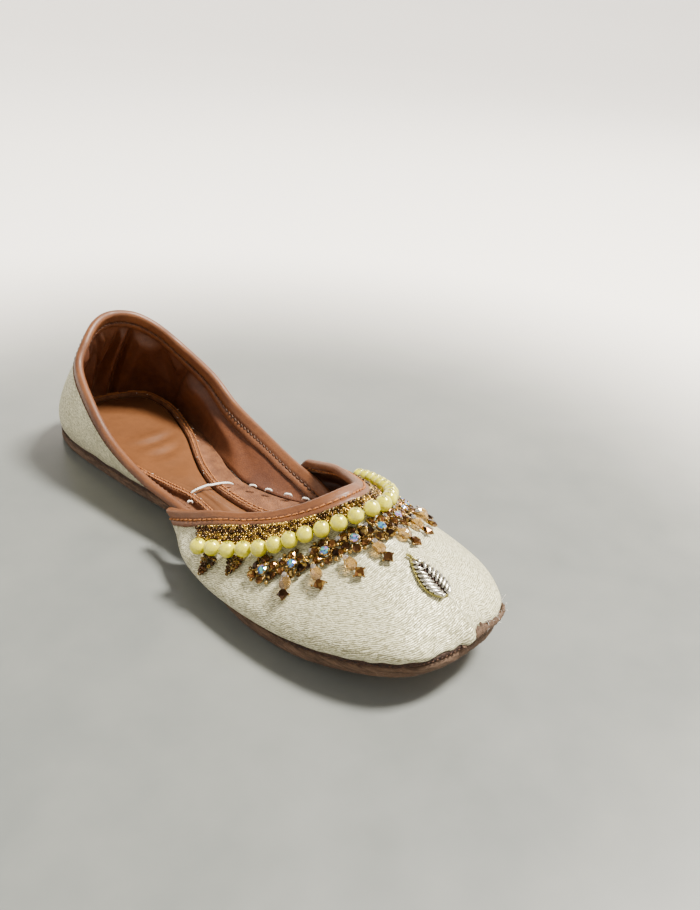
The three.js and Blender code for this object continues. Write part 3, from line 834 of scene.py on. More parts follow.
def make_crystal(name, dark, light, glint_tint):
    """Dark brown foiled stone: deep colour under a hard clear surface, with painted glints on some facets."""
    paint = Paint(name, Metallic=0.9, Coat_Weight=0.15, Coat_Roughness=0.02, Roughness=0.12)
    graph = paint.graph
    # Painted highlight: random facets are lightened towards gold as glints.
    spark = graph.ramp(graph.cells(900.0)[0], 0.8, 0.97)
    tone = graph.mix(graph.ramp(graph.shade(), 0.0, 1.0), color(dark), color(light))
    return paint.made(Base_Color=graph.over(tone, glint_tint, spark, 0.55))


def make_rainbow(name, blue, green, violet, dark):
    """Coated stone with patches of blue, green and violet."""
    paint = Paint(name, Metallic=0.55, Coat_Weight=1.0, Coat_Roughness=0.02, Roughness=0.1)
    graph = paint.graph
    cells = graph.cells(1100.0)
    base = graph.mix(graph.ramp(cells[0], 0.2, 0.8), color(blue), color(green))
    base = graph.mix(graph.ramp(cells[1], 0.55, 0.8), base, color(violet))
    base = graph.mix(graph.ramp(cells[2], 0.75, 0.9), base, color(dark))
    return paint.made(Base_Color=base)


def make_pearl(name, dark, light, deep):
    """Glass pearl under a hard coat, a little deeper from pearl to pearl."""
    paint = Paint(name, Coat_Weight=1.0, Coat_Roughness=0.04, Coat_IOR=1.6, Metallic=0.12)
    graph = paint.graph
    place = graph.place()
    tone = paint.tone(place, 330.0, dark, light)
    return paint.made(
        Base_Color=graph.over(tone["Color"], deep, graph.shade(), 0.3),
        Roughness=graph.times(tone["Mask"], 0.12, 0.24),
        Normal=paint.bump(graph.noise(place, 900.0), 0.00005, 0.5),
    )


def make_clear(name, tint, transmission):
    """Faceted clear stone whose tint is broken by darker patches, a painted reflection of dark surroundings.
    """
    paint = Paint(name, Transmission_Weight=transmission, IOR=1.55, Coat_Weight=0.5, Coat_Roughness=0.02)
    # Painted reflection: darker patches in the tint stand in for the dark that the facets reflect.
    tone = paint.tone(paint.graph.place(), 380.0, [0.34 * c for c in tint], tint)
    return paint.made(Base_Color=tone["Color"], Roughness=paint.graph.times(tone["Mask"], 0.05, 0.03))


# Direction over the floor to the side where its painted glow is strongest
GLOWING_SIDE = (0.95, 0.3, 0.0)


def make_floor(name, dark, light, far):
    """Pale glossy table top that is cooler where the slipper stands and brighter far around it, where it
    glows with painted light that is strongest towards one side.
    """
    paint = Paint(name, Coat_Weight=0.6, Coat_Roughness=0.1, Emission_Color=color((1.0, 0.95, 0.88)))
    graph = paint.graph
    place = graph.place()
    tone = paint.tone(place, 5.0, dark, light)
    reach = graph.add("ShaderNodeVectorMath", {0: place}, operation="LENGTH").outputs["Value"]
    back = graph.ramp(reach, 0.16, 0.48)
    # Painted light: the floor itself glows far from the slipper, most towards one side.
    side = graph.times(graph.ramp(graph.dot(place, GLOWING_SIDE), -0.9, 0.7), 0.75, 0.42)
    return paint.made(
        Base_Color=graph.mix(back, tone["Color"], color(far)),
        Emission_Strength=graph.times(back, side),
        Roughness=graph.times(tone["Mask"], 0.1, 0.4),
    )


# Each finish: its maker and the maker's values. Colours go from dark to light; a name stands for a setting.
FINISHES = {
    "cloth": (make_cloth, (0.41, 0.385, 0.22), "cloth_tint"),
    # Leathers: scale of the clouds, roughness, scale and depth of the pores, coat, height under which they
    # turn darker towards the floor
    "binding": (make_leather, (0.1, 0.034, 0.012), "binding_tint", 55.0, 0.42, 1300.0, 0.0001, 0.05),
    "lining": (make_leather, (0.066, 0.021, 0.009), "lining_tint", 40.0, 0.42, 1000.0, 0.00012),
    "insole": (make_leather, (0.115, 0.044, 0.015), (0.165, 0.065, 0.024), 28.0, 0.33, 1500.0, 0.00005, 0.2),
    "strip": (make_leather, (0.09, 0.032, 0.012), (0.22, 0.085, 0.032), 190.0, 0.6, 1300.0, 0.0004),
    "sole bottom": (
        make_leather, (0.2, 0.12, 0.075), (0.33, 0.21, 0.14), 30.0, 0.72, 700.0, 0.0002, 0.0, 0.004
    ),
    # Cut edges: roughness
    "sole edge": (make_cut_edge, (0.04, 0.022, 0.013), (0.14, 0.083, 0.05), 0.8),
    "seam": (make_cut_edge, (0.02, 0.011, 0.008), (0.06, 0.03, 0.02), 0.75),
    # Metals: roughness, metallic share, coat, turns of the wire's coil
    "gold bead": (make_metal, (0.05, 0.021, 0.004), (0.85, 0.53, 0.08), 0.16, 0.9, 0.2),
    "setting": (make_metal, (0.08, 0.04, 0.01), (0.66, 0.43, 0.12), 0.2),
    "silver wire": (make_metal, (0.3, 0.28, 0.22), (0.78, 0.76, 0.68), 0.18),
    "gold wire": (make_metal, (0.34, 0.3, 0.08), (0.8, 0.72, 0.28), 0.26, 1.0, 0.0, 9000.0),
    # Crystal: dark and light colours, and the colour of its painted glints.
    "crystal": (make_crystal, (0.018, 0.007, 0.002), (0.15, 0.06, 0.013), (0.75, 0.5, 0.12)),
    "rainbow": (make_rainbow, (0.03, 0.13, 0.5), (0.12, 0.5, 0.34), (0.4, 0.22, 0.62), (0.03, 0.06, 0.16)),
    "pearl": (make_pearl, (0.42, 0.38, 0.0), "pearl_tint", (0.85, 0.8, 0.03)),
    # Clear stones: tint and share of the light that they let through
    "champagne": (make_clear, (0.76, 0.46, 0.13), 0.9),
    "clear": (make_clear, (0.9, 0.86, 0.84), 0.85),
    "orange thread": (make_thread, (0.16, 0.05, 0.012), (0.4, 0.15, 0.04)),
    "brown thread": (make_thread, (0.035, 0.015, 0.008), (0.08, 0.036, 0.02)),
    "yellow thread": (make_thread, (0.42, 0.36, 0.08), (0.72, 0.66, 0.24)),
    "white thread": (make_thread, (0.72, 0.68, 0.6), (0.9, 0.88, 0.84)),
    "floor": (make_floor, (0.125, 0.136, 0.13), (0.165, 0.174, 0.164), (0.88, 0.84, 0.78)),
}


def paint(name):
    """A material of the slipper by its finish, made the first time that it is asked for."""
    made = bpy.data.materials.get("slipper " + name)
    if made is None:
        maker, *values = FINISHES[name]
        made = maker(name, *values)
    return made


# Upper


def ripple(points, scale, seed):
    """Smooth irregular waves over points, about -1 to 1."""
    draw = np.random.RandomState(seed)
    total = np.zeros(points.shape[:-1])
    for k in range(5):
        direction = unit(draw.normal(size=3))
        wave = scale * (0.6 + 0.5 * k)
        total += np.sin(points @ direction / wave * 2 * np.pi + draw.uniform(0, 2 * np.pi)) / (1 + k)
    return total / 2.3


def vamp_relief(t, v, points):
    """Height of the vamp's cloth over the plain wall: slack, gathers at the toe and a soft peak."""
    slack = 0.12 * ripple(points, 55, SEED) * smooth(v, 0, 0.2)
    gathers = 0.3 * np.sin(t * 88 + 2.0 * np.sin(t * 17)) * np.exp(-v / 0.07) * hump(t, 0, 0.5)
    peak = TOE_PEAK * hump(t, -0.02 + 0.12 * v, 0.032) * np.exp(-v / 0.2) * smooth(v, -0.05, 0.04)
    hollow = -0.9 * hump(t, -0.12, 0.07) * hump(v, 0.13, 0.12)
    corner_hollow = -0.8 * hump(t, 0.075, 0.05) * hump(v, 0.1, 0.1)
    corner = -0.9 * hump(t, 0.27, 0.1) * hump(v, 0.05, 0.3)
    return slack + gathers + peak + hollow + corner_hollow + corner


def quarters_relief(t, v, points):
    """Slack of the quarters' cloth, with shallow drag lines at the waist."""
    slack = 0.14 * ripple(points, 42, SEED + 1)
    drag = 0.16 * np.sin(v * 16 + 9 * np.abs(t)) * hump(np.abs(t), 0.55, 0.18)
    return (slack + drag) * smooth(v, 0, 0.15) * (1 - smooth(v, 0.8, 1))


# How steps in t and in level weigh against each other around a fold
FOLD_STRETCH = 9
FOLD_FLATNESS = 6

# Folds of the lining: t and level of one end, t and level of the other, width in t, height in mm inwards.
LINING_FOLDS = [
    (0.1, 0.9, 0.05, 0.12, 0.012, -3.6),
    (0.07, 0.9, 0.015, 0.12, 0.022, 2.4),
    (0.165, 0.85, 0.1, 0.2, 0.032, 3.0),
    (0.04, 0.8, -0.03, 0.2, 0.011, -2.8),
    (-0.09, 0.97, -0.012, 0.35, 0.012, -2.8),
    (-0.055, 0.9, -0.06, 0.1, 0.022, 2.2),
    (-0.17, 0.9, -0.2, 0.1, 0.024, 2.0),
    (-0.125, 0.9, -0.14, 0.1, 0.014, -2.4),
    (0.2, 0.85, 0.2, 0.6, 0.03, 1.6),
    (0.25, 0.72, 0.31, 0.42, 0.026, -3.6),
    (0.35, 0.88, 0.295, 0.1, 0.012, -2.8),
    (0.4, 0.85, 0.36, 0.4, 0.035, 2.2),
    (0.29, 0.12, 0.52, 0.1, 0.05, -2.2),
    (0.42, 0.45, 0.6, 0.45, 0.05, 1.2),
    (-0.42, 0.9, -0.36, 0.1, 0.03, 1.0),
]


def lining_relief(t, v, points):
    """Pleats and dents of the padded lining, inwards positive."""
    total = 0.25 * (1 + ripple(points, 30, SEED + 2))
    total = total + 0.8 * hump(t, 0.05, 0.35) * np.sin(np.pi * np.clip(v, 0, 1))
    for t0, v0, t1, v1, width, height in LINING_FOLDS:
        dt, dv = t1 - t0, v1 - v0
        nearest = ((t - t0) * dt * FOLD_STRETCH + (v - v0) * dv) / (dt**2 * FOLD_STRETCH + dv**2)
        share = np.clip(nearest, 0, 1)
        away = np.hypot(t - t0 - dt * share, (v - v0 - dv * share) / FOLD_FLATNESS)
        strength = 0.45 + 0.55 * np.sin(np.pi * (0.15 + 0.7 * share))
        total = total + height * hump(away, 0, width) * strength
    depth = points[:, -1:, 2] - points[..., 2]
    rim = smooth(depth, COLLAR_INSIDE - 1.0, COLLAR_INSIDE + 4.0) * smooth(v, -0.02, 0.06)
    return np.maximum(total + 0.9, -0.7) * rim


def cloth_coordinates(points):
    """Coordinates over the cloth in mm: run along the wall and up it."""
    along = np.linalg.norm(np.diff(points, axis=0), axis=-1).mean(1)
    up = np.linalg.norm(np.diff(points, axis=1), axis=-1)
    run = np.concatenate([[0], np.cumsum(along)])
    rise = np.concatenate([np.zeros((points.shape[0], 1)), np.cumsum(up, 1)], 1)
    across = np.zeros(points.shape)
    across[..., 0] = (run - run.mean())[:, None]
    across[..., 1] = rise
    return across


CLOTH_THICKNESS = 0.9
TUCK_DEPTH = 2.3


def tuck(wall, t):
    """How far the wing of the quarters lies inside the vamp, in mm."""
    if wall is vamp:
        return np.zeros_like(t)
    return TUCK_DEPTH * smooth(np.abs(t), 0.78, 0.92)


def lower_edge(wall, t):
    """Share of the wall that the cloth leaves free over the seam: small tucks, and a step at the toe."""
    tucks = 0.012 * (1 + np.sin(t * 61 + 3 * np.sin(t * 13))) * (1 + np.sin(t * 23))
    if wall is vamp:
        tucks = tucks + 0.05 * smooth(t, -0.004, 0.004) * (1 - smooth(t, 0.1, 0.3))
    return tucks


def wall_grid(rows, columns, top):
    """Places over a whole wall, up to a level."""
    return np.meshgrid(np.linspace(-1, 1, rows), np.linspace(0, top, columns), indexing="ij")


def build_upper_cloth():
    """Ivory cloth of the vamp and of the quarters, as closed skins on the wall's outside."""
    heap = Heap()
    for wall, relief, rows, columns in ((vamp, vamp_relief, 321, 71), (quarters, quarters_relief, 361, 45)):
        t, v = wall_grid(rows, columns, 1)
        v = v + (1 - v) * lower_edge(wall, t)
        plain = wall.point(t, v)
        height = relief(t, v, plain) - tuck(wall, t)
        outer = wall.raised(t, v, height)
        inner = wall.raised(t, v, height - CLOTH_THICKNESS)
        add_shell(heap, outer, inner, across=cloth_coordinates(plain))
    return heap.piece("upper_cloth", ["cloth"], "upper", ["upper"])


def build_lining():
    """Leather lining of the quarters with its pleats, and of the vamp."""
    heap = Heap()
    for wall, rows, columns in ((quarters, 481, 61), (vamp, 201, 31)):
        t, v = wall_grid(rows, columns, 0.995)
        plain = wall.point(t, v)
        folds = lining_relief(t, v, plain) if wall is quarters else 0.15 * (1 + ripple(plain, 40, SEED + 3))
        outer = wall.raised(t, v, -CLOTH_THICKNESS - 0.05 - tuck(wall, t))
        inner = wall.raised(t, v, -UPPER_WALL - folds - tuck(wall, t))
        add_shell(heap, outer, inner)
    return heap.piece("upper_lining", ["lining"], "binding")


# Bindings

# Depths of the rows of stitches under the rim, outside and inside
COLLAR_STITCHES = (3.1, 3.9)
THROAT_STITCHES = (3.2, 2.4)
BAND_THICKNESS = 0.95
ROLL_RADIUS = 1.75
STITCH_GROOVE = 0.5
END_RADIUS = 3.0


def binding_sections(wall, reach, count, outside, inside, grooves):
    """Closed sections of a folded strip: two flat legs with a groove at their stitches, and the roll."""
    t = np.linspace(-reach, reach, count)
    rim = wall.point(t, 1.0)
    up = unit(rim - wall.point(t, 0.96))
    out = wall.normal(t, 1.0)
    shift = -tuck(wall, t)
    wobble = 0.12 * np.sin(t * 57) + 0.08 * np.sin(t * 131 + 1)
    sections = []

    def leg(depth, height, side):
        level = wall.below(t, depth)
        base = shift if side > 0 else shift - UPPER_WALL
        sections.append(wall.raised(t, level, base + side * height))

    def profile(depth, groove):
        return [
            (depth, 0.04),
            (depth + 0.05, 0.55 * BAND_THICKNESS),
            (depth - 0.3, BAND_THICKNESS),
            (groove + 0.7, BAND_THICKNESS),
            (groove + 0.25, BAND_THICKNESS - STITCH_GROOVE),
            (groove - 0.25, BAND_THICKNESS - STITCH_GROOVE),
            (groove - 0.7, BAND_THICKNESS),
            ((groove - 0.7) * 0.5 + 0.4, BAND_THICKNESS * 1.05),
        ]

    for depth, height in profile(outside + wobble, grooves[0]):
        leg(depth, height, 1)
    middle = rim + out * (shift - UPPER_WALL / 2)[:, None]
    wide = UPPER_WALL / 2 + BAND_THICKNESS
    for turn in range(-10, 191, 20):
        a = math.radians(turn)
        sections.append(middle + out * (wide * math.cos(a)) + up * (ROLL_RADIUS * max(math.sin(a), -0.3)))
    for depth, height in profile(inside + wobble, grooves[1])[::-1]:
        leg(depth, height, -1)
    for depth in (inside * 0.5, 0.2):
        leg(np.full(count, depth), 0.02, -1)
    sections.append(middle + up * 0.3)
    for depth in (0.2, outside * 0.5):
        leg(np.full(count, depth), 0.02, 1)
    sections = np.stack(sections, 1)
    run = run_length(rim)
    near_end = np.minimum(run, run[-1] - run) / END_RADIUS
    narrow = np.sqrt(np.clip(1 - (1 - np.clip(near_end, 0, 1)) ** 2, 0.03, 1))[:, None, None]
    heart = (middle - up * 1.2)[:, None]
    return heart + (sections - heart) * narrow


def add_stitches(heap, wall, depth, height, reach, pitch, length, radius, slant, side, seed):
    """A row of stitches at a depth under the rim: short bowed threads that dip in at both ends.

    side is 1 outside the wall and -1 inside it; the threads have the piece's second finish.
    """
    draw = np.random.RandomState(SEED + seed)
    total, _ = wall.along(depth, -reach, reach, [])
    count = int(total / pitch)
    _, places = wall.along(depth, -reach, reach, (np.arange(count) + 0.5) / count)
    for t in places:
        v = float(wall.below(t, depth + draw.uniform(-0.08, 0.08))[0])
        across, up, out = wall.axes(t, v)
        lift = (height if side > 0 else -UPPER_WALL - height) - float(tuck(wall, np.array(t)))
        centre = wall.point(t, v) + out * lift
        ahead = unit(across + up * (slant + draw.uniform(-0.08, 0.08)))
        shares = np.linspace(-1, 1, 7)
        bow = radius * 1.1 * (1 - shares**4) - radius * 0.9
        path = centre + ahead * (shares * length / 2)[:, None] + out * (side * bow)[:, None]
        add_tube(heap, path, radius, 6, 1, draw.uniform(0, 1), taper=0.6)


def build_collar_binding():
    """Rolled leather over the collar, with a stitched band inside and outside."""
    heap = Heap()
    outer, inner = COLLAR_STITCHES
    width = COLLAR_OUTSIDE - 0.6
    add_loft(heap, binding_sections(quarters, 0.93, 421, width, COLLAR_INSIDE, COLLAR_STITCHES))
    add_stitches(heap, quarters, outer, BAND_THICKNESS - 0.1, 0.9, 2.3, 1.8, 0.3, 0.12, 1, 1)
    add_stitches(heap, quarters, inner, BAND_THICKNESS - 0.1, 0.9, 2.6, 1.9, 0.38, -0.3, -1, 2)
    materials = ["binding", "brown thread"]
    return heap.piece("collar_binding_leather", materials, "binding", ["collar_binding"])


def build_throat_binding():
    """Rolled leather over the throat, with orange stitches along its wide band."""
    heap = Heap()
    outer, inner = THROAT_STITCHES
    length = settings().stitch_length / MM
    add_loft(heap, binding_sections(vamp, 1.0, 361, THROAT_OUTSIDE, THROAT_INSIDE, THROAT_STITCHES))
    add_stitches(heap, vamp, outer, BAND_THICKNESS - 0.1, 0.985, 2.5, length, 0.34, 0.22, 1, 3)
    add_stitches(heap, vamp, inner, BAND_THICKNESS - 0.12, 0.97, 2.5, 1.8, 0.26, 0.1, -1, 4)
    materials = ["binding", "orange thread"]
    return heap.piece("throat_binding_leather", materials, "binding", ["throat_binding"])


# Sole


def slab_sections(rows, side_at, top_count=0, top_height=None):
    """Sections across the foot from heel to toe: left side upwards, points over the top, right side down."""
    places = TOE * (0.5 - 0.5 * np.cos(np.pi * np.linspace(0.004, 0.996, rows)))
    sections = []
    left, right = side_at(places), side_at(-places)
    for k in range(rows):
        section = [p[k] for p in left]
        if top_count:
            start, end = left[-1][k], right[-1][k]
            for n in range(1, top_count + 1):
                share = n / (top_count + 1)
                p = start + (end - start) * share
                section.append(p + np.array([0, 0, top_height(p, share)]))
        section += [p[k] for p in right][::-1]
        sections.append(section)
    return np.array(sections)


def rough_cut(place, level, strength):
    """Uneven inset of a knife-cut edge."""
    waves = ((0.5, 2.3, 1), (0.35, 9.1, 3), (0.25, 23.7, 7))
    return strength * sum(height * np.sin(place * pace + level * shift) for height, pace, shift in waves)


# Side of the outsole from below: inset as a share of the edge's rounding, height as one of the thickness.
OUTSOLE_SIDE = [
    (2.2, 0.0),
    (1.0, 0.02),
    (0.35, 0.16),
    (0.1, 0.3),
    (0.0, 0.44),
    (0.06, 0.56),
    (0.0, 0.66),
    (0.18, 0.8),
    (0.5, 0.92),
    (1.0, 0.99),
    (2.4, 1.0),
]


def build_outsole():
    """Leather outsole with a knife-cut, layered edge and a scuffed underside."""

    def side_at(places):
        side = []
        for inset, height in OUTSOLE_SIDE:
            worn = rough_cut(np.abs(places), 3 * height, 0.2) + corner_trim(places)
            side.append(sole_level(places, SOLE_EDGE * inset * 0.8 + 0.06 + worn, SOLE_THICKNESS * height))
        return side

    heap = Heap()
    sections = slab_sections(321, side_at)
    add_loft(heap, sections)
    columns = sections.shape[1]
    heap.finish = [1 if k % columns == columns - 1 else 0 for k in range(len(heap.faces))]
    return heap.piece("outsole_leather", ["sole edge", "sole bottom"], "outsole", ["outsole"])


def build_midsole():
    """Dark seam layer between sole and cloth, with its coarse stitches."""
    top = SOLE_THICKNESS + MIDSOLE_THICKNESS + 2 * GAP + 0.35
    low = SOLE_THICKNESS
    levels = [(1.4, low), (0.75, low + 0.2), (0.55, low + 0.8), (0.6, top - 0.5), (0.9, top)]

    def side_at(places):
        side = []
        for inset, height in levels:
            worn = rough_cut(np.abs(places) * 1.7, 5 * height, 0.16) + 0.7 * corner_trim(places)
            side.append(sole_level(places, inset + worn, height + 0.12 * np.sin(np.abs(places) * 31)))
        return side

    heap = Heap()
    add_loft(heap, slab_sections(321, side_at))
    places = np.linspace(0, len(EDGE), 210, endpoint=False)
    draw = np.random.RandomState(SEED + 9)
    shares = np.linspace(0, 1, 5)
    bow = 0.5 - 0.35 * np.sin(np.pi * shares)
    for place in places:
        line = sole_level(place + 0.11 * (shares - 0.5), bow, SOLE_THICKNESS + 0.9)
        add_tube(heap, line, 0.2, 5, 1, draw.uniform(0, 1), taper=0.6)
    return heap.piece("midsole_seam", ["seam", "brown thread"], "midsole", ["midsole"])


def insole_top(y):
    """Height of the insole's rim over the lifted ground."""
    return SEAM + INSOLE_THICKNESS + heel_padding(y)


# Rounded side of the insole: inset as a share of its edge, depth under its rim as one of its thickness.
INSOLE_SIDE = [(0.0, 0.55), (0.05, 0.35), (0.16, 0.2), (0.36, 0.1), (0.7, 0.02), (1.0, 0.0)]

# Soft wrinkles of the insole: share of the length, reach along it, and height in mm.
WAIST_WRINKLES = [
    (0.2, 0.011, 0.9),
    (0.222, 0.008, -0.8),
    (0.245, 0.011, 0.9),
    (0.27, 0.008, -0.7),
    (0.3, 0.014, 0.4),
    (0.37, 0.02, 0.3),
]


def build_insole():
    """Padded insole: domed across, with soft wrinkles over the waist."""

    def side_at(places):
        at, _, margin = edge_point(places, 0)
        top = insole_top(at[:, 1])
        side = [sole_level(places, margin + INSOLE_EDGE * 0.12, SEAM + 0.1)]
        for inset, depth in INSOLE_SIDE:
            side.append(sole_level(places, margin + INSOLE_EDGE * inset, top - INSOLE_THICKNESS * depth))
        return side

    def top_height(p, share):
        crown = 0.5 * math.sin(math.pi * share) ** 0.7
        along = 0.5 - p[1] / LENGTH
        bend = 0.012 * math.sin(math.pi * share)
        wrinkles = 0.0
        for middle, reach, height in WAIST_WRINKLES:
            wrinkles += height * float(hump(along - bend * 1.2, middle, reach))
        return crown + wrinkles * math.sin(math.pi * min(1.0, share * 1.15))

    heap = Heap()
    add_loft(heap, slab_sections(361, side_at, 44, top_height))
    return heap.piece("insole_leather", ["insole"], "insole", ["insole"])


def build_strip():
    """Raised strip around the insole with two rows of rough stitches and fibres."""
    places = np.linspace(0, len(EDGE), 721)[:-1]
    at, _, margin = edge_point(places, 0)
    padding = heel_padding(at[:, 1])
    inner = margin - GAP + 0.25 * np.sin(places * 3.1) * 0.4
    outer = np.maximum(inner - STRIP_WIDTH, LINING_INSET + 0.2)
    top = insole_top(at[:, 1]) + STRIP_HEIGHT
    low = top - INSOLE_THICKNESS * 0.6 - STRIP_HEIGHT - padding
    rough = 0.12 * np.sin(places * 21) + 0.09 * np.sin(places * 47 + 1)
    shape = [
        (inner, np.full_like(top, SEAM + 0.1)),
        (inner, top - STRIP_HEIGHT * 0.8),
        (inner - 0.15, top - STRIP_HEIGHT * 0.35),
        (inner - 0.5, top + rough * 0.5),
        (inner - 1.0, top - 0.22),
        (inner * 0.5 + outer * 0.5 + 0.35, top + 0.05 + rough),
        (inner * 0.5 + outer * 0.5 - 0.35, top - 0.2),
        (outer + 0.9, top + rough * 0.6),
        (outer + 0.4, top - 0.3),
        (outer + 0.1, low * 0.5 + top * 0.5),
        (outer, low + 0.5),
        (outer * 0.5 + LINING_INSET * 0.5, low + 0.15),
        (np.full_like(top, LINING_INSET - 0.6), low + 0.1),
        (np.full_like(top, LINING_INSET - 1.4), low + 0.35),
        (np.full_like(top, LINING_INSET - 1.4), np.full_like(top, SEAM + 0.1)),
    ]
    heap = Heap()
    sections = np.stack([sole_level(places, inset, height) for inset, height in shape], 1)
    add_loft(heap, sections, closed=True)
    draw = np.random.RandomState(SEED + 5)
    for share, pitch in ((0.28, 0.115), (0.74, 0.1)):
        place = 0.0
        while place < len(EDGE):
            edge, _, gap = edge_point(np.array(place), 0)
            near = float(gap) - GAP
            far = max(near - STRIP_WIDTH, LINING_INSET + 0.2)
            height = float(insole_top(edge[1])) + STRIP_HEIGHT - 0.05
            shares = np.linspace(0, 1, 6)
            sway = draw.uniform(-0.25, 0.25)
            inset = near + (far - near) * share + sway * (shares - 0.5)
            line = sole_level(place + pitch * 0.95 * shares, inset, height + 0.2 * np.sin(np.pi * shares))
            add_tube(heap, line, draw.uniform(0.24, 0.38), 5, 1, draw.uniform(0, 1), taper=0.6)
            place += pitch * draw.uniform(0.95, 1.25)
    for _ in range(90):
        place = draw.uniform(0, len(EDGE))
        edge, _, gap = edge_point(np.array(place), 0)
        inset = float(gap) - GAP + draw.choice([0.0, -STRIP_WIDTH]) * draw.uniform(0.8, 1.0)
        height = float(insole_top(edge[1])) + STRIP_HEIGHT - 0.3
        shares = np.linspace(0, 1, 5)
        reach = draw.uniform(-0.9, 0.9)
        rise = draw.uniform(0.1, 0.7)
        places = place + draw.uniform(0.02, 0.09) * shares
        line = sole_level(places, inset + reach * shares, height + rise * np.sin(2.4 * shares))
        add_tube(heap, line, 0.09, 4, 2, draw.uniform(0, 1), taper=0.6)
    materials = ["strip", "orange thread", "white thread"]
    return heap.piece("insole_strip_leather", materials, "strip", ["insole_strip"])


# Lip of the sole against the toe: place as t of the vamp and rise as a share of the highest.
TOE_LIP = [
    (-0.06, 0.02),
    (-0.012, 0.12),
    (-0.003, 0.8),
    (0.03, 1.15),
    (0.06, 0.95),
    (0.1, 0.8),
    (0.15, 0.62),
    (0.2, 0.5),
    (0.27, 0.25),
    (0.34, 0.05),
]

# Section of the lip round from its foot: share of its rise, and height over the toe in mm.
LIP_SECTION = [
    (-0.1, 0.1),
    (0.5, 0.15),
    (0.97, 0.3),
    (1.0, 0.6),
    (0.93, 0.95),
    (0.6, 1.25),
    (0.3, 1.3),
    (0.0, 1.15),
    (-0.1, 0.8),
]


def build_toe_lip():
    """Torn lip of the sole, turned up against the toe from its middle round the far corner."""
    count = 121
    t = np.linspace(TOE_LIP[0][0], TOE_LIP[-1][0], count)
    rise = np.interp(t, *zip(*TOE_LIP)) * (1 + 0.1 * np.sin(t * 160) + 0.08 * np.sin(t * 330))
    per_v = np.linalg.norm(vamp.point(t, 0.02) - vamp.point(t, 0), axis=1) / 0.02
    top = TOE_LIP_HEIGHT * np.clip(rise, 0.05, None) / per_v
    sections = []
    for share, height in LIP_SECTION:
        fray = 0.1 * np.sin(t * 210 + 5 * height) + 0.08 * np.sin(t * 480 + 11 * share)
        sections.append(vamp.raised(t, share * top, height + fray))
    heap = Heap()
    add_loft(heap, np.stack(sections, 1))
    draw = np.random.RandomState(SEED + 7)
    for _ in range(46):
        k = draw.randint(30, count - 4)
        start = sections[3][k] if draw.uniform() < 0.7 else sections[6][k]
        away = unit(draw.normal(size=3) + np.array([0.4, -0.8, 0.4]))
        bend = unit(draw.normal(size=3))
        shares = np.linspace(0, 1, 6)[:, None]
        reach = draw.uniform(0.5, 2.0)
        path = start + away * reach * shares + bend * 0.5 * reach * shares**2
        add_tube(heap, path, 0.07, 4, 1, 0.5, taper=0.7)
    return heap.piece("toe_lip_leather", ["sole edge", "white thread"], "outsole", ["toe_lip"])


# Loose white threads over the insole: start and end on the plan in mm, and how high the thread bows.
WHITE_THREADS = [
    ((-15.5, 14.5), (4.2, 11.4), 1.3),
    ((-20.4, 8.7), (-18.4, 8.0), 0.35),
    ((7.9, 4.8), (10.1, 2.5), 0.2),
    ((11.6, -1.5), (13.4, -3.8), 0.2),
    ((16.0, -8.8), (18.1, -11.4), 0.2),
    ((20.2, -15.6), (22.0, -18.3), 0.2),
]


def build_threads():
    """White tacking threads that are left across the waist."""
    heap = Heap()
    for (x0, y0), (x1, y1), bow in WHITE_THREADS:
        shares = np.linspace(0, 1, 15)
        x = x0 + (x1 - x0) * shares
        y = y0 + (y1 - y0) * shares
        ground = ground_lift(y) + insole_top(y)
        base = ground + np.where(np.abs(x) > 7, STRIP_HEIGHT + 0.2, 0.2)
        z = base.max() * 0.6 + base * 0.4 + bow * np.sin(np.pi * shares) - 0.9 * (np.abs(2 * shares - 1) ** 8)
        add_tube(heap, np.stack([x, y, z], 1), 0.5 if bow > 1 else 0.45, 8, 0, 0.5, taper=0.6)
    return heap.piece("tacking_threads", ["white thread"], "strip")


# Beadwork

PEARL_DEPTH = THROAT_OUTSIDE + BEAD_BAND_WIDTH + 3 * GAP + PEARL / 2
FLOWER_DEPTH = PEARL_DEPTH + PEARL / 2 + FLOWER_SIZE / 2 + 4 * GAP
DROP_DEPTH = FLOWER_DEPTH + DROP_LENGTH * 0.9
CLUSTER_DEPTH = PEARL_DEPTH + PEARL / 2 + CLUSTER_SIZE / 2 + 4 * GAP
LEAF_DEPTH = FLOWER_DEPTH + FLOWER_SIZE / 2 + LEAF_SPACE + LEAF_LENGTH / 2
LAST_FLOWER = (FLOWER_COUNT - 1) / 2
STRING_SAG = 4.8
PLAIN_BAND_WIDTH = 4.8
BEAD_ROWS = 8
BEAD_ROW_STEP = 1.3
SEED_BEAD_RADIUS = 0.86
LEAF_VEINS = 10
LEAF_STEM_HALF = 0.35


def evenly(depth, steps):
    """Places under the throat, counted in flower steps from its middle, on a line that sags to its ends."""
    steps = np.asarray(steps, float)
    total, _ = vamp.along(depth, -1, 1, [])
    _, places = vamp.along(depth, -1, 1, 0.5 + (steps * FLOWER_PITCH + FLOWER_SHIFT) / total)
    sag = np.where(np.abs(steps) > LAST_FLOWER, 0, (steps / LAST_FLOWER) ** 2)
    return [(float(t), float(vamp.below(t, depth + FLOWER_SAG * s)[0])) for t, s in zip(places, sag)]


def add_shape(heap, shape, t, v, spot, size, finish, shade, turn=0.0, lift=0.0, tilt=0.0):
    """A unit shape at a spot of an ornament that lies on the vamp, facing out of it."""
    points, faces = shape
    at = vamp.wrap(np.array([[spot[0], spot[1], lift]]), t, v)[0]
    across, up, out = vamp.axes(t, v)
    c, s = math.cos(turn), math.sin(turn)
    one, two = across * c + up * s, up * c - across * s
    if tilt:
        one, out = one * math.cos(tilt) + out * math.sin(tilt), out * math.cos(tilt) - one * math.sin(tilt)
    heap.add(placed(points, at, one, two, out, size), faces, finish, shade)


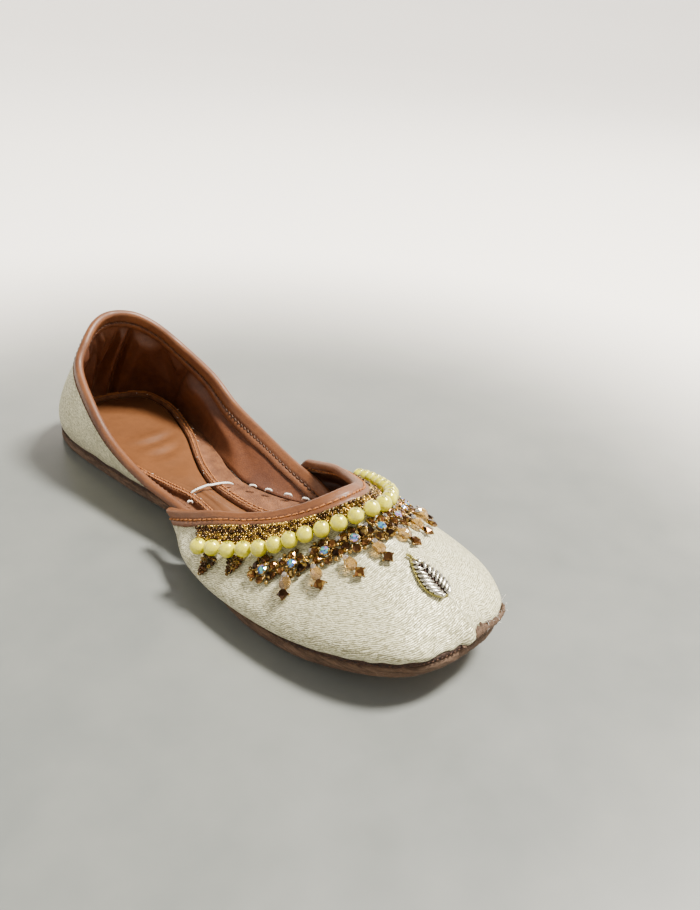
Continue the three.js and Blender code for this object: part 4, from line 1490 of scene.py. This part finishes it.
def string_places(depth, shares):
    """Places at shares of the beaded part of a line under the throat."""
    return vamp.along(depth, -BEADS_REACH, BEADS_REACH, shares)[1]


def string_length(depth):
    """Length of the beaded part of a line under the throat."""
    return vamp.along(depth, -BEADS_REACH, BEADS_REACH, [])[0]


def string_sag(t):
    """How far the pearl string hangs below its even line, on the side that is turned to the camera."""
    return STRING_SAG * hump(t, -0.54, 0.2)


def build_bead_band():
    """Rows of seed beads between the throat and the pearls, and the thread that edges them."""
    heap = Heap()
    draw = np.random.RandomState(SEED + 11)
    bead = ring_bead()
    for row in range(BEAD_ROWS):
        depth = THROAT_OUTSIDE + 0.75 + BEAD_ROW_STEP * row
        count = int(string_length(depth) / (1.9 * SEED_BEAD_RADIUS))
        for t in string_places(depth, (np.arange(count) + 0.5 * (row % 2)) / count):
            if depth > THROAT_OUTSIDE + PLAIN_BAND_WIDTH + string_sag(t):
                continue
            v = float(vamp.below(t, depth + draw.uniform(-0.15, 0.15))[0])
            size = SEED_BEAD_RADIUS * draw.uniform(0.85, 1.05)
            lift = 0.6 + draw.uniform(-0.1, 0.3)
            shade = draw.uniform(0, 1) ** 1.7
            turn, tilt = draw.uniform(0, 3), draw.uniform(-0.9, 0.9)
            add_shape(heap, bead, t, v, (0, 0), size, 0, shade, turn, lift, tilt)
    depth = THROAT_OUTSIDE + 0.05
    t = np.linspace(-BEADS_REACH, BEADS_REACH, 400)
    line = vamp.raised(t, vamp.below(t, depth), 0.5 + 0.08 * np.sin(t * 300))
    add_tube(heap, line, 0.42, 6, 1)
    return heap.piece("bead_band_beads", ["gold bead", "yellow thread"], "beads", ["bead_band"])


def build_pearls():
    """The pearl string along the throat."""
    heap = Heap()
    draw = np.random.RandomState(SEED + 13)
    count = round(string_length(PEARL_DEPTH) / PEARL)
    points, faces = ball(26, 16)
    centres = []
    for t in string_places(PEARL_DEPTH, (np.arange(count) + 0.5) / count):
        v = float(vamp.below(t, PEARL_DEPTH + string_sag(t) + draw.uniform(-0.25, 0.25))[0])
        centre = vamp.raised(np.array(t), np.array(v), np.array(GAP + PEARL / 2))
        centres.append(centre)
        radius = settings().pearl_size / MM / 2 * draw.uniform(0.97, 1.02)
        heap.add(centre + points * radius * draw.uniform(0.98, 1.02, 3), faces, 0, draw.uniform(0, 1))
    add_tube(heap, np.array(centres), 0.3, 6, 1)
    return heap.piece("pearl_string_pearls", ["pearl", "yellow thread"], "pearls", ["pearl_string"])


# How far each flower is sewn from its even place, right flower first: along the throat and up to it, in mm.
FLOWER_OFFSETS = [
    (0, -0.4),
    (0, -1.0),
    (0.3, 0.5),
    (0, 1.5),
    (-0.6, 1.8),
    (-0.9, 2.5),
    (-0.9, 2.7),
    (-0.6, 2.2),
    (0, 1.8),
]

# The same for each drop, and its lean in radians.
DROP_OFFSETS = [
    (-1.6, 0.0, 0.3),
    (-1.9, 0.3, 0.34),
    (-1.7, 0.5, 0.3),
    (-1.8, 2.6, 0.2),
    (-1.2, 3.2, 0.3),
    (-1.0, 3.4, 0.2),
    (-0.6, 3.4, 0.1),
    (0.0, 3.0, 0.1),
]


def brown_stone():
    """The six-sided stone of the flowers."""
    return cut_stone(6, 0.5, 0.8, 0.4)


def round_spot(spot, reach, angle):
    """A place at a distance from a spot."""
    return spot[0] + reach * math.cos(angle), spot[1] + reach * math.sin(angle)


def build_flower(number, t, v):
    """A flower: a rainbow stone in a gold setting, ringed by brown stones with seed beads between them."""
    heap = Heap()
    draw = np.random.RandomState(SEED + 20 + number)
    bead, brown, rim = ring_bead(), brown_stone(), ring_bead(12, 6, 0.8)
    middle = FLOWER_OFFSETS[number - 1]
    turn = draw.uniform(0, 1)
    add_shape(heap, cut_stone(10), t, v, middle, (1.7, 1.7, 2.0), 1, 0.5, turn, 1.1)
    add_shape(heap, ring_bead(16, 6, 0.78), t, v, middle, (2.0, 2.0, 0.6), 0, 0.55, 0, 1.6)
    for k in range(4):
        spot = round_spot(middle, 1.75, turn + 0.4 + k * math.pi / 2)
        add_shape(heap, bead, t, v, spot, 0.42, 0, 0.9, 0, 2.3)
    for k in range(6):
        a = turn + k * math.pi / 3
        spot = round_spot(middle, 3.75 + draw.uniform(-0.25, 0.25), a)
        size = draw.uniform(1.45, 1.8)
        tilt = draw.uniform(-0.35, 0.35)
        shade, spin = draw.uniform(0, 1), draw.uniform(0, 1)
        add_shape(heap, brown, t, v, spot, (size, size, 1.6), 2, shade, spin, 0.5, tilt)
        wide = size * 1.07
        add_shape(heap, rim, t, v, spot, (wide, wide, 0.3), 0, draw.uniform(0, 0.7), 0, 0.9, tilt)
        for share, reach, width in ((0.5, 2.6, 0.6), (0.5, 5.0, 0.72)):
            spot = round_spot(middle, reach, a + share * math.pi / 3 + draw.uniform(-0.1, 0.1))
            shade, lift = draw.uniform(0, 1), draw.uniform(0.6, 1.0)
            add_shape(heap, bead, t, v, spot, width, 0, shade, 0, lift, draw.uniform(-1, 1))
    materials = ["setting", "rainbow", "crystal"]
    return heap.piece(f"flower_{number}_stones", materials, "crystal", [f"flower_{number}"], (1, 2))


def build_drop(number, t, v):
    """A champagne drop with a clear stone at its top and a square brown stone in a gold setting below."""
    heap = Heap()
    draw = np.random.RandomState(SEED + 60 + number)
    x, y, lean = DROP_OFFSETS[number - 1]
    lean += draw.uniform(-0.06, 0.06)
    bead = ring_bead()

    def hung(down):
        return x + down * math.sin(lean), y - down * math.cos(lean)

    width = DROP_WIDTH / 2
    add_shape(heap, drop_stone(8), t, v, hung(0.2), (width, 3.3, width * 0.9), 1, 0.5, lean, width * 0.8)
    add_shape(heap, cut_stone(8), t, v, hung(-1.3), (1.0, 1.0, 1.3), 3, 0.5, 0.3, 2.6)
    add_shape(heap, bead, t, v, hung(-3.6), 0.7, 0, 0.8, 0, 0.9)
    add_shape(heap, bead, t, v, hung(3.5), 0.55, 0, 0.8, 0, 0.9)
    size = SQUARE_STONE / 2
    square, middle = cut_stone(4, 0.62, 1.0, 0.4), hung(5.3)
    shade = draw.uniform(0.2, 0.9)
    add_shape(heap, square, t, v, middle, (size, size, 1.9), 2, shade, math.pi / 2 + lean, 0.5)
    for k in range(4):
        spot = round_spot(middle, size * 0.95, math.pi / 2 * k + lean)
        add_shape(heap, bead, t, v, spot, 0.4, 0, draw.uniform(0.4, 1), 0, 1.3, 0.2)
    materials = ["setting", "champagne", "crystal", "clear"]
    return heap.piece(f"drop_{number}_stones", materials, "drop", [f"drop_{number}"], (1, 2, 3))


# Rows of a cluster from its top: beads, and height over its middle as a share of its size.
CLUSTER_ROWS = [(5, 0.38), (5, 0.19), (4, 0.0), (3, -0.2), (2, -0.38), (1, -0.52)]


def build_cluster(number, t, v):
    """A small cluster of dark seed beads that narrows downwards."""
    heap = Heap()
    draw = np.random.RandomState(SEED + 90 + number)
    bead = ring_bead()
    for count, y in CLUSTER_ROWS:
        for k in range(count):
            x = (k - (count - 1) / 2) * 1.42 + draw.uniform(-0.1, 0.1)
            size = draw.uniform(0.68, 0.85)
            lift = 0.55 + draw.uniform(0, 0.35)
            finish, shade = draw.randint(0, 2), draw.uniform(0, 0.65)
            tilt = draw.uniform(-1.1, 1.1)
            add_shape(heap, bead, t, v, (x, y * CLUSTER_SIZE + 0.6), size, finish, shade, 0, lift, tilt)
    return heap.piece(f"cluster_{number}_beads", ["gold bead", "crystal"], "crystal", [f"cluster_{number}"])


def build_flowers():
    places = evenly(FLOWER_DEPTH, np.arange(FLOWER_COUNT) - LAST_FLOWER)
    return [build_flower(k + 1, t, v) for k, (t, v) in enumerate(places)]


def build_drops():
    places = evenly(DROP_DEPTH, np.arange(FLOWER_COUNT - 1) - LAST_FLOWER + 0.5)
    return [build_drop(k + 1, t, v) for k, (t, v) in enumerate(places)]


def build_clusters():
    ends = LAST_FLOWER + 1 + np.arange(CLUSTERS_PER_END)
    places = evenly(CLUSTER_DEPTH, [*-ends[::-1], *ends])
    hung = [(t, float(vamp.below(t, CLUSTER_DEPTH + 0.6 * string_sag(t))[0])) for t, _ in places]
    return [build_cluster(k + 1, t, v) for k, (t, v) in enumerate(hung)]


def build_filler():
    """Loose gold seed beads and small clear stones sewn between flowers and pearls."""
    heap = Heap()
    draw = np.random.RandomState(SEED + 120)
    bead, clear, brown = ring_bead(), cut_stone(8), brown_stone()
    for k, (t, v) in enumerate(evenly(FLOWER_DEPTH, np.arange(-LAST_FLOWER + 0.5, LAST_FLOWER, 1.0))):
        x = (FLOWER_OFFSETS[k][0] + FLOWER_OFFSETS[k + 1][0]) / 2
        y = (FLOWER_OFFSETS[k][1] + FLOWER_OFFSETS[k + 1][1]) / 2
        for _ in range(6):
            spot = (x + draw.uniform(-1.8, 1.8), y + draw.uniform(-2.6, 3.8))
            shade, lift = draw.uniform(0, 1), draw.uniform(0.5, 0.9)
            add_shape(heap, bead, t, v, spot, draw.uniform(0.6, 0.78), 0, shade, 0, lift, draw.uniform(-1, 1))
        spot = (x + draw.uniform(-1, 1), y + draw.uniform(2.2, 3.4))
        add_shape(heap, clear, t, v, spot, (0.95, 0.95, 1.3), 1, 0.5, 0.4, 0.8)
        spot = (x + draw.uniform(-0.8, 0.8), y + draw.uniform(-3.4, -2.4))
        add_shape(heap, brown, t, v, spot, (1.3, 1.3, 1.3), 2, draw.uniform(0, 1), 0.4, 0.5)
    return heap.piece("filler_beads", ["gold bead", "clear", "crystal"], "crystal", (), (1, 2))


def build_leaf():
    """Leaf of coiled silver wire: a gold outline, slanting veins from the middle, and a short stem."""
    heap = Heap()
    t, v = 0.0, float(vamp.below(0.0, LEAF_DEPTH)[0])
    length, aside, shift = LEAF_LENGTH * 0.94, -1.4, -0.2

    def half(share):
        low = share + 0.5
        return LEAF_WIDTH / 2 * 1.2 * max(0.0, math.sin(math.pi * low**0.72)) ** 0.8

    def laid(line):
        return vamp.wrap(np.array([(x + aside, y + shift, z) for x, y, z in line]), t, v)

    shares = np.linspace(-0.5, 0.49, 60)
    right = [(half(s), s * length, 0.4) for s in shares]
    left = [(-x, y, z) for x, y, z in right[::-1]]
    add_tube(heap, laid(right + left + right[:1]), 0.38, 8, 1)

    def ground(z):
        across = np.linspace(-1, 1, 7)
        return np.array([laid([(half(s) * a, s * length, z) for a in across]) for s in shares[1:-1]])

    # Painted shade: a dark sheet under the wires darkens the gaps between them.
    add_shell(heap, ground(0.55), ground(0.05), finish=2)
    for sign in (-1, 1):
        for k in range(LEAF_VEINS):
            tip = -0.43 + 0.84 * k / (LEAF_VEINS - 1)
            reach = half(tip) * 0.95
            foot = tip * length - min(3.0, 1.0 + 0.75 * reach)
            line = []
            for s in np.linspace(0, 1, 12):
                x = sign * (LEAF_STEM_HALF + (reach - LEAF_STEM_HALF) * (1 - (1 - s) ** 1.3))
                y = max(foot + (tip * length - foot) * s, -0.48 * length)
                line.append((x, y, 0.9 + 0.55 * math.sin(math.pi * (0.9 - 0.75 * s))))
            add_tube(heap, laid(line), 0.6, 10, 0, 0.95, taper=0.75)
    stem = [(0.3 * math.sin(5 * s), length * 0.47 + 2.2 * s, 0.7) for s in np.linspace(0, 1, 10)]
    add_tube(heap, laid(stem), 0.55, 8, 1, 0.6)
    materials = ["silver wire", "gold wire", "seam"]
    return heap.piece("toe_leaf_wire", materials, "leaf", ["toe_leaf"])


# Stage

# The camera, as worked out from the outlines in the photograph: mm in the last's own frame, and degrees.
CAMERA_TARGET = (49.72, -12.66, 20.0)
CAMERA_DISTANCE = 349.6
CAMERA_AZIMUTH = -45.56
CAMERA_ELEVATION = 28.02
CAMERA_ROLL = 4.55
CAMERA_FOCUS = 31.47
SENSOR_WIDTH = 36.0
FLOOR_SEGMENTS = 96


def camera_axes():
    """Unit directions back to the camera, to its right and up."""
    a, e, r = (math.radians(x) for x in (CAMERA_AZIMUTH, CAMERA_ELEVATION, CAMERA_ROLL))
    back = Vector((math.sin(a) * math.cos(e), -math.cos(a) * math.cos(e), math.sin(e)))
    right = Vector((math.cos(a), math.sin(a), 0))
    up = back.cross(right)
    return back, math.cos(r) * right + math.sin(r) * up, math.cos(r) * up - math.sin(r) * right


def build_camera():
    back, right, up = camera_axes()
    data = bpy.data.cameras.new("camera")
    data.lens = CAMERA_FOCUS
    data.sensor_width = SENSOR_WIDTH
    data.clip_start = 0.01
    camera = bpy.data.objects.new("camera", data)
    bpy.context.scene.collection.objects.link(camera)
    target = (Vector(CAMERA_TARGET) + Vector(OFFSET)) * MM
    turn = Matrix((right, up, back)).transposed()
    camera.matrix_world = Matrix.Translation(target + back * CAMERA_DISTANCE * MM) @ turn.to_4x4()
    bpy.context.scene.camera = camera


def build_light(name, size, watts, tint, right, up, away):
    """A soft square light, placed from the middle of the slipper by the camera's directions, in metres."""
    _, side, _ = camera_axes()
    forward = Vector((-side.y, side.x, 0))
    data = bpy.data.lights.new(name, "AREA")
    data.size = size
    data.energy = watts
    data.color = tint
    light = bpy.data.objects.new(name, data)
    bpy.context.scene.collection.objects.link(light)
    middle = Vector((0, 0, 0.02))
    flat_side = Vector((side.x, side.y, 0)).normalized()
    light.location = middle + flat_side * right + forward.normalized() * away + Vector((0, 0, up))
    light.rotation_mode = "QUATERNION"
    light.rotation_quaternion = (light.location - middle).to_track_quat("Z", "Y")


def build_stage():
    """Floor, lights, world and camera."""
    build_camera()
    bend = np.linspace(0, np.pi / 2, 13)
    profile = [(0.5, 0.0), (2.0, 0.0), *zip(4.5 + 1.5 * np.sin(bend), 1.5 - 1.5 * np.cos(bend)), (6.0, 3.0)]
    points = [(0.0, 0.0, 0.0)] + [point for r, z in profile for point in ring(FLOOR_SEGMENTS, r, z)]
    faces = [(0, 1 + k, 1 + (k + 1) % FLOOR_SEGMENTS) for k in range(FLOOR_SEGMENTS)]
    faces += grid_faces(len(profile), FLOOR_SEGMENTS, 1, closed_columns=True)
    mesh = bpy.data.meshes.new("floor")
    mesh.from_pydata(points, [], faces)
    mesh.polygons.foreach_set("use_smooth", np.full(len(faces), True))
    mesh.materials.append(paint("floor"))
    floor = bpy.data.objects.new("floor", mesh)
    bpy.context.scene.collection.objects.link(floor)
    build_light("key", 0.55, settings().key_watts, (1.0, 0.95, 0.86), 1.25, 2.3, 0.35)
    build_light("fill", 1.2, settings().fill_watts, (0.95, 0.98, 1.0), -0.9, 0.7, -0.7)
    world = bpy.data.worlds.new("studio")
    world.use_nodes = True
    background = world.node_tree.nodes["Background"]
    graph = Graph(world.node_tree)
    direction = graph.add("ShaderNodeTexCoord").outputs["Generated"]
    key = bpy.data.objects["key"].location.normalized()
    facing = graph.ramp(graph.dot(direction, key), -0.5, 1.0)
    glow = graph.mix(facing, color((0.26, 0.27, 0.28)), color((2.0, 1.86, 1.66)))
    graph.tree.links.new(glow, background.inputs["Color"])
    background.inputs["Strength"].default_value = settings().sky_strength
    bpy.context.scene.world = world
    return floor


# Add-on classes


def tint_property(name, description, default):
    """A setting that is a colour."""
    return bpy.props.FloatVectorProperty(
        name=name, description=description, default=default, subtype="COLOR", min=0.0, max=1.0
    )


def power_property(name, description, default):
    """A setting that is a light's power."""
    return bpy.props.FloatProperty(
        name=name, description=description, default=default, min=0.0, subtype="POWER"
    )


class MOJARI_PG_settings(bpy.types.PropertyGroup):
    """Colours and sizes of the slipper, and the light of its stage."""

    cloth_tint: tint_property("Cloth", "Colour of the lit cloth", (0.63, 0.6, 0.37))
    binding_tint: tint_property("Bindings", "Lighter colour of the bindings", (0.165, 0.06, 0.02))
    lining_tint: tint_property("Lining", "Lighter colour of the lining", (0.12, 0.041, 0.016))
    pearl_tint: tint_property("Pearls", "Colour of the pearls", (0.74, 0.68, 0.01))
    pearl_size: bpy.props.FloatProperty(
        name="Pearl",
        description="Diameter of a pearl",
        default=PEARL * MM,
        min=0.002,
        max=0.008,
        unit="LENGTH",
    )
    stitch_length: bpy.props.FloatProperty(
        name="Stitch",
        description="Length of a stitch in the throat binding",
        default=0.0021,
        min=0.001,
        max=0.004,
        unit="LENGTH",
    )
    key_watts: power_property("Key light", "Power of the high light beside the slipper", 320.0)
    fill_watts: power_property("Fill light", "Power of the wide light beside the camera", 4.0)
    sky_strength: bpy.props.FloatProperty(
        name="Sky", description="Strength of the soft light from all round", default=0.34, min=0.0
    )


def settings():
    return bpy.context.scene.mojari


def finished(operator, *pieces):
    """The result of an operator, once every piece that it built has faces."""
    for piece in pieces:
        if not len(piece.data.polygons):
            raise RuntimeError(f"{operator.bl_label}: {piece.name} has no faces")
    return {"FINISHED"}


class MOJARI_OT_cloth(bpy.types.Operator):
    """Build the ivory cloth of the vamp and the quarters"""

    bl_idname = "mojari.cloth"
    bl_label = "Cloth"

    def execute(self, context):
        return finished(self, build_upper_cloth())


class MOJARI_OT_lining(bpy.types.Operator):
    """Build the pleated leather lining"""

    bl_idname = "mojari.lining"
    bl_label = "Lining"

    def execute(self, context):
        return finished(self, build_lining())


class MOJARI_OT_bindings(bpy.types.Operator):
    """Build the rolled leather of the collar and the throat with its stitches"""

    bl_idname = "mojari.bindings"
    bl_label = "Bindings"

    def execute(self, context):
        return finished(self, build_collar_binding(), build_throat_binding())


class MOJARI_OT_outsole(bpy.types.Operator):
    """Build the leather outsole"""

    bl_idname = "mojari.outsole"
    bl_label = "Outsole"

    def execute(self, context):
        return finished(self, build_outsole())


class MOJARI_OT_seam_layer(bpy.types.Operator):
    """Build the dark layer between sole and cloth"""

    bl_idname = "mojari.seam_layer"
    bl_label = "Seam layer"

    def execute(self, context):
        return finished(self, build_midsole())


class MOJARI_OT_toe_lip(bpy.types.Operator):
    """Build the torn lip of the sole at the toe"""

    bl_idname = "mojari.toe_lip"
    bl_label = "Toe lip"

    def execute(self, context):
        return finished(self, build_toe_lip())


class MOJARI_OT_insole(bpy.types.Operator):
    """Build the padded insole"""

    bl_idname = "mojari.insole"
    bl_label = "Insole"

    def execute(self, context):
        return finished(self, build_insole())


class MOJARI_OT_strip(bpy.types.Operator):
    """Build the stitched strip round the insole"""

    bl_idname = "mojari.strip"
    bl_label = "Insole strip"

    def execute(self, context):
        return finished(self, build_strip())


class MOJARI_OT_tacking(bpy.types.Operator):
    """Build the white threads across the waist"""

    bl_idname = "mojari.tacking"
    bl_label = "Tacking threads"

    def execute(self, context):
        return finished(self, build_threads())


class MOJARI_OT_bead_band(bpy.types.Operator):
    """Build the rows of seed beads under the throat"""

    bl_idname = "mojari.bead_band"
    bl_label = "Bead band"

    def execute(self, context):
        return finished(self, build_bead_band())


class MOJARI_OT_pearls(bpy.types.Operator):
    """Build the string of pearls"""

    bl_idname = "mojari.pearls"
    bl_label = "Pearls"

    def execute(self, context):
        return finished(self, build_pearls())


class MOJARI_OT_flowers(bpy.types.Operator):
    """Build the flowers of stones"""

    bl_idname = "mojari.flowers"
    bl_label = "Flowers"

    def execute(self, context):
        return finished(self, *build_flowers())


class MOJARI_OT_drops(bpy.types.Operator):
    """Build the hanging drops"""

    bl_idname = "mojari.drops"
    bl_label = "Drops"

    def execute(self, context):
        return finished(self, *build_drops())


class MOJARI_OT_clusters(bpy.types.Operator):
    """Build the small bead clusters at both ends of the throat"""

    bl_idname = "mojari.clusters"
    bl_label = "Clusters"

    def execute(self, context):
        return finished(self, *build_clusters())


class MOJARI_OT_filler(bpy.types.Operator):
    """Build the loose beads between the flowers"""

    bl_idname = "mojari.filler"
    bl_label = "Filler beads"

    def execute(self, context):
        return finished(self, build_filler())


class MOJARI_OT_leaf(bpy.types.Operator):
    """Build the wire leaf over the toe"""

    bl_idname = "mojari.leaf"
    bl_label = "Toe leaf"

    def execute(self, context):
        return finished(self, build_leaf())


class MOJARI_OT_stage(bpy.types.Operator):
    """Build the floor, the lights and the camera"""

    bl_idname = "mojari.stage"
    bl_label = "Stage"

    def execute(self, context):
        return finished(self, build_stage())


class MOJARI_PT_panel(bpy.types.Panel):
    """Buttons that build the slipper"""

    bl_idname = "MOJARI_PT_panel"
    bl_label = "Mojari slipper"
    bl_space_type = "VIEW_3D"
    bl_region_type = "UI"
    bl_category = "Mojari"

    def draw(self, context):
        for name in MOJARI_PG_settings.__annotations__:
            self.layout.prop(context.scene.mojari, name)
        for operator in OPERATORS:
            self.layout.operator(operator.bl_idname)


OPERATORS = (
    MOJARI_OT_cloth,
    MOJARI_OT_lining,
    MOJARI_OT_bindings,
    MOJARI_OT_outsole,
    MOJARI_OT_seam_layer,
    MOJARI_OT_toe_lip,
    MOJARI_OT_insole,
    MOJARI_OT_strip,
    MOJARI_OT_tacking,
    MOJARI_OT_bead_band,
    MOJARI_OT_pearls,
    MOJARI_OT_flowers,
    MOJARI_OT_drops,
    MOJARI_OT_clusters,
    MOJARI_OT_filler,
    MOJARI_OT_leaf,
    MOJARI_OT_stage,
)
CLASSES = (MOJARI_PG_settings, *OPERATORS, MOJARI_PT_panel)


def register():
    for cls in CLASSES:
        bpy.utils.register_class(cls)
    bpy.types.Scene.mojari = bpy.props.PointerProperty(type=MOJARI_PG_settings)


def unregister():
    del bpy.types.Scene.mojari
    for cls in reversed(CLASSES):
        bpy.utils.unregister_class(cls)


def main():
    register()
    bpy.ops.mojari.cloth()
    bpy.ops.mojari.lining()
    bpy.ops.mojari.bindings()
    bpy.ops.mojari.outsole()
    bpy.ops.mojari.seam_layer()
    bpy.ops.mojari.toe_lip()
    bpy.ops.mojari.insole()
    bpy.ops.mojari.strip()
    bpy.ops.mojari.tacking()
    bpy.ops.mojari.bead_band()
    bpy.ops.mojari.pearls()
    bpy.ops.mojari.flowers()
    bpy.ops.mojari.drops()
    bpy.ops.mojari.clusters()
    bpy.ops.mojari.filler()
    bpy.ops.mojari.leaf()
    bpy.ops.mojari.stage()


if __name__ == "__main__":
    main()
